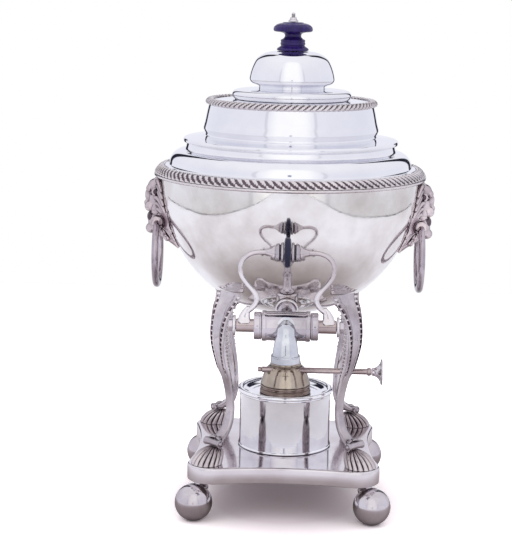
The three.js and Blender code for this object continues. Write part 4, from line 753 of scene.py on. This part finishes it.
def lion_mask():
    """Lion's head built towards +X from rounded masses, with a round mane on the bowl."""
    s = Shape()

    def strand(steps, place, radius, flat, up=(1, 0, 0)):
        shares = [k / steps for k in range(steps + 1)]
        s.tube([place(t) for t in shares], [radius(t) for t in shares], 12, flat, up)

    # One full head and jaw, on which the features are relief
    for x, z, size, segments, rings, lean in (
        (103.2, 246, (11.8, 10.2, 20), 30, 20, 0), (105, 229, (10.2, 9.2, 12), 26, 18, 0),
        (108, 258.6, (7.6, 8.6, 6.6), 22, 14, 0), (114, 249.6, (3.6, 2.7, 7), 18, 12, 0.2),
        (115.8, 244.8, (2.7, 3.6, 2.8), 16, 12, 0), (110.6, 233.5, (3.3, 4.6, 7.5), 18, 12, 0),
        (112.2, 224, (4.9, 6.4, 4.4), 20, 12, 0),
    ):
        s.ball((x, 0, z), size, segments, rings, Matrix.Rotation(lean, 3, "Y"))
    for side in (-1, 1):
        # Muzzle and brow, the lids, then socket, cheek and two curls at the jaw
        s.ball((112.6, side * 3.6, 242.4), (5.2, 4.8, 4.6), 20, 14)
        s.ball((113.6, side * 3.2, 257), (3.1, 3.9, 3.1), 18, 12)
        lid = [
            (107.8 + 2.9 * cos(a), side * (10.5 - 0.2 * cos(a)), 255 + 2.9 * sin(a))
            for a in [pi * k / 8 for k in range(17)]
        ]
        s.tube(lid, [1.1] * 17, 10, 1, (1, 0, 0))
        for x, y, z, size, segments in (
            (106.6, 8.4, 254.6, (5, 2.6, 5), 16), (107, 7.8, 240.6, (5, 3.6, 5.6), 18),
            (101.4, 8.6, 222.6, (3.4, 3.6, 3.2), 16), (98.4, 8.2, 217.4, (3.2, 3.4, 3), 16),
        ):
            s.ball((x, side * y, z), size, segments, 12)
        # Locks of the mane, combed from the temples down on to the bowl, and its outer row,
        # flat on the bowl beside the eye and raised under it
        starts = (105.6, 103.6, 102.2, 103.6, 104.4, 103.6, 102, 99.6, 97)
        ends = (103.2, 100.4, 98.4, 96.4, 95, 93.8, 92.6, 91.4, 90.2)
        for i, (x0, x1) in enumerate(zip(starts, ends)):
            z0, z1 = 262.5 - 4.6 * i, 250 - 4.5 * i
            lift = 0.9 if i < 3 else 3.6

            def lock(t):
                x = x0 + (x1 - x0) * t + 0.5 * sin(7 * t + i)
                z = z0 + (z1 - z0) * t**1.15
                y = 9.6 + 2.6 * sin(pi * min(t, 0.8)) - 2 * t
                return max(x, bowl_out(min(z, 269), 10) + 0.6), side * y, z

            def outer_lock(t):
                y = 10.8 + (14 - 0.9 * i) * t + (0.9 if i % 2 else 0) * t
                z = 264 - 4.6 * i - (7 + 1.2 * i) * t**1.7 + 1.6 * sin(pi * t)
                z = min(z, 265.8 - 1.5 * t)
                return bowl_out(z, y) + 1.1 + lift * (1 - t) ** 1.5, side * y, z

            strand(12, lock, lambda t: 1.75 * (1 - 0.35 * t**3), 1, (0, 1, 0))
            strand(12, outer_lock, lambda t: (2.3 - t) * (1 - 0.45 * t**5), 1.2)
        # Beard, hanging from the jaw on to the bowl
        for i in range(3):
            def beard(t):
                y = (1.6 + 3.3 * i) * (1 + 0.25 * t) * (1 - 0.35 * t * t)
                z = 221 - (12.6 - 1.2 * i) * t
                return bowl_out(z, y) + 2 + (9 - 1.2 * i) * (1 - t) ** 1.6, side * y, z

            strand(10, beard, lambda t: 2.2 * (1 - 0.55 * t**2), 1.1)
        # Curls over the crown
        for i in range(3):
            s.ball((107.4 - 1.8 * i, side * (2.3 + 3.9 * i), 264 - 0.8 * i), (2.9, 2.5, 2.5), 14, 10)
    return s


def fused(shape, voxel):
    """One skin over overlapping masses, as a casting has."""
    mesh = bpy.data.meshes.new("mask_source")
    mesh.from_pydata([Vector(p) * MM for p in shape.points], [], shape.faces)
    source = add_object("mask_source", mesh)
    remesh = source.modifiers.new("skin", "REMESH")
    remesh.mode = "VOXEL"
    remesh.voxel_size = voxel * MM
    soften = source.modifiers.new("soften", "SMOOTH")
    soften.factor = 0.5
    soften.iterations = 1
    result = source.evaluated_get(bpy.context.evaluated_depsgraph_get()).to_mesh()
    out = Shape().add([v.co / MM for v in result.vertices], [p.vertices for p in result.polygons])
    bpy.data.objects.remove(source)
    bpy.data.meshes.remove(mesh)
    return out


def seated(x, y, z):
    """Where a point of the mask goes to clear the bowl, the ring and the border."""
    base = bowl_r(min(z, 269.5)) + 0.35
    across = hypot(x, y)
    if across < base:
        x, y = x * base / across, y * base / across
    # Round mouth for the ring
    dx, dz = x - PIVOT_R, z - PIVOT_Z
    dip = RING_R - sqrt(max(RING_R**2 - min(abs(y), 20) ** 2, 0))
    need, have = RING_ROOM + dip, hypot(dx, dz)
    if 1e-6 < have < need:
        x, z = PIVOT_R + dx * need / have, PIVOT_Z + dz * need / have
    # Under the border's lower edge
    return x, y, min(z, BORDER_LOW) if hypot(x, y) > BORDER_IN else z


def side_pieces():
    mask = fused(lion_mask(), 0.4).moved(seated)
    # Painted shade, as dark pieces: the mouth between muzzle and chin, then eyes, nostrils and the corners
    # by the nose
    pits = Shape().ball((112.5, 0, 233.6), (3.5, 6, 4.6), 18, 12)
    for side in (-1, 1):
        pits.ball((108.2, side * 11, 255), (2.2, 1.2, 2.2), 14, 10)
        pits.ball((117.2, side * 1.5, 243.4), (0.7, 0.7, 0.6), 10, 8)
        pits.ball((111.6, side * 5, 252.4), (1.6, 1.9, 1.2), 14, 10)

    def ring_point(a, b):
        r = RING_R + RING_WIRE * cos(b)
        return PIVOT_R + RING_WIRE * sin(b), r * cos(a), PIVOT_Z - RING_R + r * sin(a)

    ring = Shape().grid(circle(96, lambda a: circle(20, lambda b: ring_point(a, b))), True)
    for side, turn in (("right", 0), ("left", 180)):
        mask.turned(turn).put(f"{side}_lion_head", SILVER_MASK, "body", f"lion_mask_{side}", 70)
        pits.turned(turn).put(f"{side}_lion_pits", PAINTED_SHADE, "body", None, 70)
        ring.turned(turn).put(f"{side}_ring", SILVER_RING, f"ring_{side}", f"ring_handle_{side}", 70)


side_pieces()


# Tap and lever
TAP_Y, TAP_Z = -123, 171
SPOUT_OUT = 13.5
SPOUT_Y = TAP_Y - SPOUT_OUT
SPOUT_BEND = SPOUT_OUT - 11.2 + 11.8 * 0.2
BARREL_ROOM, SHAFT_ROOM = 11.75, 5.35  # radii that spout and lever arms keep clear
SIDES = (("right", 1), ("left", -1))


def crosswise(profile, segments, sign=1, y=TAP_Y, z=TAP_Z):
    """Profile of (radius, x) turned round an axis along X; sign -1 mirrors it."""
    return Shape().lathe([(r, x * sign) for r, x in profile], segments, (0, y, z), "x")


def clear_of_axis(radius):
    """Move that keeps points a radius away from the tap's cross axis."""
    def move(x, y, z):
        away = hypot(y - TAP_Y, z - TAP_Z)
        if away < radius:
            y, z = TAP_Y + (y - TAP_Y) * radius / away, TAP_Z + (z - TAP_Z) * radius / away
        return x, y, z
    return move


def octagon(centre, out, width, depth):
    """Eight-sided section with eased corners, across a path in the YZ plane."""
    bevel, r = 0.12, 1 / cos(pi / 8)
    corners = []
    for i in range(8):
        a = (i + 0.5) * pi / 4
        corners.append((cos(a) * r * width / 2, sin(a) * r * depth / 2))
    points = []
    for i, c in enumerate(corners):
        for other in (corners[i - 1], corners[(i + 1) % 8]):
            x = c[0] + (other[0] - c[0]) * bevel
            d = c[1] + (other[1] - c[1]) * bevel
            points.append((centre[0] + x, centre[1] + out[1] * d, centre[2] + out[2] * d))
    return points


def spout_rows(top, end, end_z, steps=10):
    """Sections from the barrel round the bend and down to end_z, where the width is end."""
    rows = [octagon((0, TAP_Y - 6, TAP_Z), (0, 0, 1), top, top)]
    for i in range(steps + 1):
        a = i * pi / 2 / steps
        out = (0, -sin(a), cos(a))
        centre = (0, SPOUT_Y + SPOUT_BEND + out[1] * SPOUT_BEND, TAP_Z - SPOUT_BEND + out[2] * SPOUT_BEND)
        rows.append(octagon(centre, out, top + i * 1.2 / steps, top))
    start_z = TAP_Z - SPOUT_BEND
    for t in [k / 8 for k in range(1, 9)]:
        w = top + 1.2 + (end - top - 1.2) * t**0.55
        d = top + (end - top) * t**0.7
        rows.append(octagon((0, SPOUT_Y, start_z + (end_z - start_z) * t), (0, -1, 0), w, d))
    return rows


def tap():
    front, neck = TAP_Y + 8.96, 4.2
    pipe = [
        (0, front), (7, front), (7, front + 5.4), (6, front + 7.2), (4.8, front + 8.8),
        (neck, front + 10.2), (neck, -94.4), (4.5, -93.4), (5.25, -92.2), (5.4, -90.8), (5.2, -89.4),
        (4.5, -88.2), (neck, -87.2), (neck, -74.5), (4.7, -73), (5.9, -71.4), (7, -70.3), (7, -67.6),
        (neck, -67.5), (neck, -54), (0, -54),
    ]
    body = Shape().lathe(rounded(pipe, 0.5, loop=False), 48, (0, 0, TAP_Z), "y")
    barrel = mirrored([
        (0, -22.3), (9.2, -22.3), (9.2, -18), (11.1, -18), (11.4, -17.4), (11.45, -16.4), (11.4, -15.3),
        (11.2, -14.8), (11, -14.2), (11, 0),
    ])
    body.lathe(barrel, 72, (0, TAP_Y, TAP_Z), "x")
    body.put("tap_barrel", SILVER_TAP, "body", "tap_body", 35)

    def plate_row(r, y):
        """Ring of the rose; without a y it lies on the bowl."""
        def point(a):
            x, z = r * cos(a), TAP_Z + r * sin(a)
            return x, -bowl_out(z, x) - 0.3 if y is None else y, z
        return circle(64, point)

    face = [(4.5, -67.17), (8.2, -67.17), (9.1, -66.6), (9.5, -65.6), (9.5, -64.6)]
    rows = [plate_row(*p) for p in rounded(face, 0.4, loop=False) + [(9.5, None), (4.5, None)]]
    Shape().grid(rows, True).put("tap_rose_plate", SILVER_WARM, "body", "tap_rose", 40)


def spout():
    def across(drop, width):
        return octagon((0, SPOUT_Y, TAP_Z - drop), (0, -1, 0), width, width)

    rows = spout_rows(12.6, 19.6, TAP_Z - 18.9)
    rows += [across(*row) for row in (
        (18.8, 20.2), (19.1, 21), (19.8, 21.6), (23.6, 21.6), (24.3, 21.2), (24.6, 20.6), (24.6, 15.2),
        (24.2, 14.6), (15, 14.5),
    )]
    rows += spout_rows(5.2, 14.5, TAP_Z - 14.6, 6)[:0:-1]
    shape = Shape().grid(rows, True).moved(clear_of_axis(BARREL_ROOM))
    shape.put("spout_faceted", SILVER_SPOUT, "body", "tap_spout", 22)


def valve():
    plug = mirrored([
        (0, -43.6), (2.6, -43.6), (3, -43.2), (3, -37.4), (4.7, -37.4), (5.05, -37), (5.05, -22), (7, -22),
    ])
    crosswise(plug, 48).put("tap_shaft", COPPERED, "tap_lever", "tap_plug")
    cap = rounded([(9.5, 18.3), (10.1, 18.3), (10.45, 18.7), (10.45, 19.2), (10.2, 19.5), (10.45, 19.8),
                   (10.45, 23.4), (10, 24), (5.4, 24), (5.4, 22.65), (9.5, 22.65)], 0.15)
    washer = rounded([(3.3, 37.7), (7.2, 37.7), (7.6, 38.1), (7.6, 39.3), (7.2, 39.7), (3.3, 39.7)], 0.2)
    nut_flat, nut_corner, bore = 4.1, 4.73, 3.3
    for side, sign in SIDES:
        crosswise(cap, 64, sign).put(f"{side}_barrel_end", SILVER_TAP, "body", f"barrel_cap_{side}")
        crosswise(washer, 48, sign).put(
            f"{side}_shaft_disc", SILVER_WARM, "tap_lever", f"shaft_washer_{side}")

        def nut_point(x, r, a):
            reach = r
            if r > bore:
                flat = nut_flat / cos((a % (pi / 3)) - pi / 6)
                reach = min(flat, 4.6) * (r / nut_corner)
            return x * sign, TAP_Y + reach * cos(a), TAP_Z + reach * sin(a)

        rows = [circle(48, lambda a: nut_point(x, r, a)) for x, r in (
            (40, bore), (40, 4.45), (40.25, nut_corner), (42.6, nut_corner), (43, 4.4), (43, bore))]
        Shape().grid(rows, True).put(f"{side}_hex_nut", SILVER_TAP, "tap_lever", f"shaft_nut_{side}", 25)


def lever():
    top = TAP_Z + 55.7  # height of the disc's middle
    face = 2.55 + 6.4 + 0.6  # where an arm starts, beside disc and boss
    centre = smooth([(face + 6.5, top), (face + 9.5, top - 0.1)] + [(x, top - drop) for x, drop in (
        (24, 0.4), (29.6, 2.6), (33.6, 6.8), (35, 12.4), (33.6, 18.2), (30, 23.6), (26, 28.2), (23.2, 32),
        (22.3, 35.6), (23.2, 39.2), (25.6, 42.2), (28.6, 44.6), (30, 46.4),
    )], 6)
    count = len(centre)
    radii = [1.8 + 0.25 * max(0, (i / count - 0.55)) * 4 for i in range(count)]
    horn = [(0, face + 4.2), (1.7, face + 4.2)] + [(r, face + x) for r, x in (
        (1.7, 0), (5.2, 0), (5.5, 0.4), (5.45, 0.8), (4.3, 1.7), (3.3, 3), (2.5, 4.8), (1.95, 6.6), (0, 7))]
    boss = rounded([(1.7, 2.85), (7.1, 2.85), (7.5, 3.2), (7.5, 4.5), (7.1, 4.9), (5.9, 5.3), (5.7, 5.7),
                    (6.7, 6.3), (6.9, 7), (6.4, 8.2), (5.5, 9.2), (1.7, 9.25)], 0.25)
    for side, sign in SIDES:
        arm = Shape().tube([(x * sign, TAP_Y, z) for x, z in centre], radii, 20, up=(0, 1, 0))
        arm.lathe([(r, x * sign) for r, x in horn], 40, (0, TAP_Y, top), "x")

        def blade_row(rise, x, w, d):
            """Section of the flat foot, a square with soft corners."""
            def point(a):
                c, s = (copysign(abs(v) ** 0.55, v) for v in (cos(a), sin(a)))
                return sign * x + w / 2 * c, TAP_Y + d / 2 * s, TAP_Z + rise
            return circle(24, point)

        rows = [blade_row(*row) for row in (
            (14.2, 28.6, 3.4, 3.2), (12.4, 29.4, 5, 3.6), (10.2, 30.4, 6.6, 4.2), (7.6, 31.2, 8.2, 5),
            (4.6, 31.5, 9, 5.8), (1.4, 31.5, 9, 6))]
        blade = Shape().grid(rows).moved(clear_of_axis(SHAFT_ROOM))
        arm.add(blade.points, blade.faces)
        arm.put(f"{side}_lyre_arm", SILVER_WARM, "tap_lever", f"lever_arm_{side}", 50)
        crosswise(boss, 56, sign, z=top).put(
            f"{side}_lever_knuckle", SILVER_KNUCKLE, "tap_lever", f"lever_boss_{side}")
    disc = mirrored([(1.7, -2.55), (7.9, -2.55), (9.4, -2.35), (10.8, -1.95), (11.2, -1.4), (11.3, 0)])
    crosswise(rounded(disc, 0.4), 72, z=top).put("lever_ebony", EBONY_DISC, "tap_lever", "lever_disc")
    pin = mirrored([(0, -13.5), (1.4, -13.5)])
    crosswise(pin, 20, z=top).put("lever_axle", SILVER_WARM, "tap_lever", "lever_pin")


tap()
spout()
valve()
lever()


# Spirit lamp
def lamp():
    low, top = 44.3, 93.3
    drum = [
        (0, low), (37.9, low), (38.4, low + 0.3), (38.5, low + 0.9), (38.2, low + 1.5), (37.7, low + 1.8),
        (37.6, low + 2.6), (37.6, top - 5.2), (37.7, top - 4.8), (38.3, top - 4.7), (38.5, top - 4.2),
        (38.2, top - 3.8), *arc(37.1, top - 2, 2.3, 2, -55, 150, 18), (36.4, top - 2), (36.4, low + 1.2),
        (0, low + 1.2),
    ]
    Shape().lathe(drum, 120).put("lamp_drum", SILVER_LAMP, "lamp", "lamp_reservoir", 30)
    dish = [(15.8, 88.5), (28.5, 88.5), (30.5, 89), (33.4, 90.6), (34.6, 91.2), (35.7, 91.2), (36, 90.8),
            (36, 84.6), (34.9, 84.6), (34.9, 88.6), (33.8, 88.8), (29, 87.3), (15.8, 87.3)]
    Shape().lathe(rounded(dish, 0.4), 96).put("lamp_dish", SILVER_LAMP, "lamp", "lamp_top")
    base = 88.8
    seat = [(5.6, base), (13.9, base), (13.9, 80.8), (15.5, 80.8)] + [(r, base + h) for r, h in (
        (15.5, 0), (20.8, 0), (21.1, 0.5), (21.1, 1.8), (20.4, 2.3), (19.9, 3), (20.6, 3.6), (20.6, 5.4),
        (20.2, 6.2), (19.3, 6.2), (18.1, 1.6), (5.6, 1.6))]
    Shape().lathe(rounded(seat, 0.3), 80).put("burner_seat", BRONZE, "lamp", "burner_base")
    # Outside of the burner's dome upwards, then its inside downwards
    burner = [(r, 95.3 + h) for r, h in (
        (20.1, 0), (20.5, 0.4), (20.4, 1.3), (19.9, 3), (18.6, 7.4), (17.6, 10.4), (16.2, 13.2), (14.9, 15),
        (13.4, 15.8), (12.6, 16.4), (13.1, 17.1), (12.6, 18), (12.1, 20.4), (11.6, 22.4), (10.4, 24),
        (8.2, 25), (5.6, 25), (5.6, 23.8), (7.6, 23.8), (10.4, 21.6), (11.2, 16.2), (13.2, 13.8),
        (16.6, 8.4), (18.9, 0.4), (19.1, 0),
    )]
    Shape().lathe(rounded(burner, 0.35), 80).put("burner_cap", BRASS, "lamp", "burner_dome", 40)
    sleeve = [(4.35, 78.8), (5.25, 78.8), (5.25, 121), (5, 121.5), (4.6, 121.5), (4.35, 121.2)]
    Shape().lathe(sleeve, 40).put("wick_sleeve", BRASS, "lamp", "wick_tube")

    def braid(r, z, a):
        over, under = (r - 0.25 * abs(sin(6 * a + way * z * 1.2)) for way in (1, -1))
        return over * cos(a), under * sin(a), z

    levels = [(r, 50.3 + 72.8 * k / 59) for k, r in enumerate([4] * 58 + [3.8, 2.8])]
    rows = [circle(48, lambda a: braid(*level, a)) for level in levels]
    Shape().grid(rows).put("cotton_braid", COTTON, "lamp_wick", "wick", 60)


def winder():
    y, z = -8.1, 109
    shaft = [
        (0, -23), (1.6, -23), (2, -22.6), (2, -20.4), (1.6, -20), (2.45, -19.4), (2.45, 66.8), (2.9, 67.2),
        (3.4, 67.9), (3.4, 69.2), (3, 69.8), (2.9, 70.7), (0, 70.7),
    ]
    rod = crosswise(rounded(shaft, 0.2, loop=False), 32, 1, y, z)
    rod.put("winder_rod", COPPERED, "winder", "winder_shaft")
    trumpet = [
        (0, 71), (3, 71), (3.3, 71.5), (3.5, 73), (4.1, 74.6), (5.4, 76.2), (7.6, 77.6), (10.2, 78.3),
        (10.8, 78.6), (10.8, 79.2), (10.3, 79.6), (8.6, 79.7), (4, 79.4), (2.2, 79.6), (1.6, 80.1),
        (0, 80.2),
    ]
    thumb = crosswise(rounded(trumpet, 0.3, loop=False), 56, 1, y, z)
    thumb.put("winder_thumb_knob", SILVER_WARM, "winder", "winder_knob")

    def tooth_point(x, a):
        r = 3.45 + 0.35 * tanh(3 * cos(10 * a))
        return x, y + r * cos(a), z + r * sin(a)

    rows = [circle(80, lambda a: tooth_point(x, a)) for x in (-2, 2)]
    Shape().grid(rows).put("winder_cog", BRASS, "winder", "winder_pinion", 30)


lamp()
winder()


# Floor, light and background
def slab(name, points, faces, dim):
    """Piece of the table, in metres: toned for reflections, white paper for the camera; both carry a
    painted shadow round the urn.
    """
    mesh = bpy.data.meshes.new(name)
    mesh.from_pydata(points, [], faces)
    ground = add_object(name, mesh)
    material, tree, shader = new_material(name)
    place = tree.new("TexCoord").outputs["Object"]
    away = tree.new("VectorMath", {0: place}, operation="LENGTH").outputs["Value"]
    # Painted shadow seen in reflections: the table darkens towards the urn's axis
    stops = [(0, (0.38, 0.33, 0.31)), (0.09, (0.5, 0.45, 0.44)), (0.17, (0.74, 0.71, 0.72)),
             (0.27, (0.93, 0.92, 0.95)), (0.9, (0.95, 0.95, 0.98))]
    dimmed = [(at, [c * dim for c in color]) for at, color in stops]
    tone = tree.ramp(tree.spread(away, 0, 1, 0.05, 1.05), dimmed)
    tree.fill(shader, {"Base Color": tone, "Roughness": 0.9, "Specular IOR Level": 0.1})
    # Painted shadow for the camera: the white paper dims under the base
    white = tree.ramp(tree.spread(away, 0, 1, 0.055, 0.115), [(0, (1, 0.9, 0.92)), (1, (1.75, 1.66, 1.64))])
    paper = tree.new("BsdfDiffuse", {"Color": white})
    tree.by_camera("Material Output", shader.outputs["BSDF"], paper.outputs["BSDF"])
    mesh.materials.append(material)


def floor():
    """Pale table that narrows to the front, with a painted shadow that dims it close to the urn, and a dark
    seam round it.
    """
    outline = [
        (-0.4, -1.9), (0.46, -1.9), (0.5, -0.72), (0.5, -0.54), (0.54, -0.35), (0.61, -0.18),
        (0.69, 0.01), (0.78, 0.41), (0.82, 0.9), (-0.86, 0.9), (-0.84, 0.42), (-0.74, 0.1), (-0.65, -0.05),
        (-0.57, -0.21), (-0.51, -0.37), (-0.47, -0.56), (-0.42, -0.83),
    ]
    count = len(outline)
    inner = [(x, y, 0) for x, y in outline]
    slab("floor", inner, [tuple(range(count))], 1)
    rim = [(x * 1.03, y * 1.01, 0) for x, y in outline]
    ring = [(i, (i + 1) % count, (i + 1) % count + count, i + count) for i in range(count)]
    slab("floor_seam", inner + rim, ring, 0.12)


def world():
    """White tent: bright to the front, bluish at the sides, a dark-edged opening behind."""
    sky = bpy.data.worlds.new("studio")
    bpy.context.scene.world = sky
    tree = Tree(sky)

    def soft(value, start, end):
        """0 before start, 1 after end, a smooth step between."""
        return tree.spread(value, 0, 1, start, end, interpolation_type="SMOOTHSTEP")

    def fade(value, start, end):
        return tree.math("SUBTRACT", 1, soft(value, start, end))

    def both(first, *others):
        for other in others:
            first = tree.math("MULTIPLY", first, other)
        return first

    direction = tree.new("TexCoord").outputs["Generated"]
    x, y, z = tree.new("SeparateXYZ", {"Vector": direction}).outputs
    depth = tree.math("MAXIMUM", tree.math("ABSOLUTE", y), 0.001)
    across = tree.math("DIVIDE", tree.math("ABSOLUTE", x), depth)
    rise = tree.math("DIVIDE", z, depth)
    behind, before = soft(y, 0, 0.05), fade(y, -0.05, 0)
    tone = tree.ramp(tree.spread(z, 0, 1, -1, 1), [
        (0, (0.6, 0.57, 0.54)), (0.36, (0.76, 0.76, 0.8)), (0.46, (0.88, 0.89, 0.97)),
        (0.57, (0.86, 0.87, 0.95)), (0.75, (0.9, 0.9, 0.96)), (0.95, (0.96, 0.96, 1)),
    ])
    # Bright front, where the lamps stand beside the camera, with its dark seams
    front = both(fade(across, 0.25, 0.75), before, fade(rise, 1.2, 2.6))
    tone = tree.mix(front, tone, (1.12, 1.12, 1.13))
    seam = both(soft(across, 0.6, 0.64), fade(across, 0.7, 0.74), before, fade(rise, 0.5, 1.2), 0.2)
    tone = tree.mix(seam, tone, (0.2, 0.2, 0.26))
    # Photographer and tripod
    height = both(soft(rise, 0.02, 0.05), fade(rise, 0.24, 0.28))
    tone = tree.mix(both(fade(across, 0.022, 0.034), before, height, 0.8), tone, (0.1, 0.13, 0.3))
    # Dark posts and top bar round the backdrop
    below = fade(rise, 1.25, 1.3)
    posts = both(soft(across, 0.3, 0.34), fade(across, 0.52, 0.58), below)
    bar = both(soft(rise, 1.05, 1.1), below, fade(across, 0.5, 0.56))
    tone = tree.mix(both(tree.math("MAXIMUM", posts, bar), behind), tone, (0.02, 0.02, 0.035))
    tent = tree.fill(tree.nodes["Background"], {"Color": tone})
    white = tree.new("Background", {"Color": (1, 1, 1, 1)})
    tree.by_camera("World Output", tent.outputs["Background"], white.outputs["Background"])


def lamp_light(name, place, size, power):
    """Square soft light that points at the urn."""
    data = bpy.data.lights.new(name, "AREA")
    data.shape = "RECTANGLE"
    data.size = data.size_y = size
    data.energy = power
    light = add_object(name, data)
    light.location = place
    light.rotation_euler = (Vector((0, 0, 0.2)) - Vector(place)).to_track_quat("-Z", "Y").to_euler()
    light.visible_glossy = False  # the mirror metal shows the tent alone


floor()
world()
lamp_light("soft_top_left", (-0.7, -0.5, 1.7), 1.2, 3.2)
lamp_light("soft_right", (1, -0.2, 1.2), 0.8, 1.2)

bpy.context.scene.view_settings.view_transform = "Standard"

for node, material in (("tap_strainer", BRASS), ("knob_washer", SILVER_WARM)):
    shown = frame["nodes"][node].data
    shown.materials.clear()
    shown.materials.append(material)
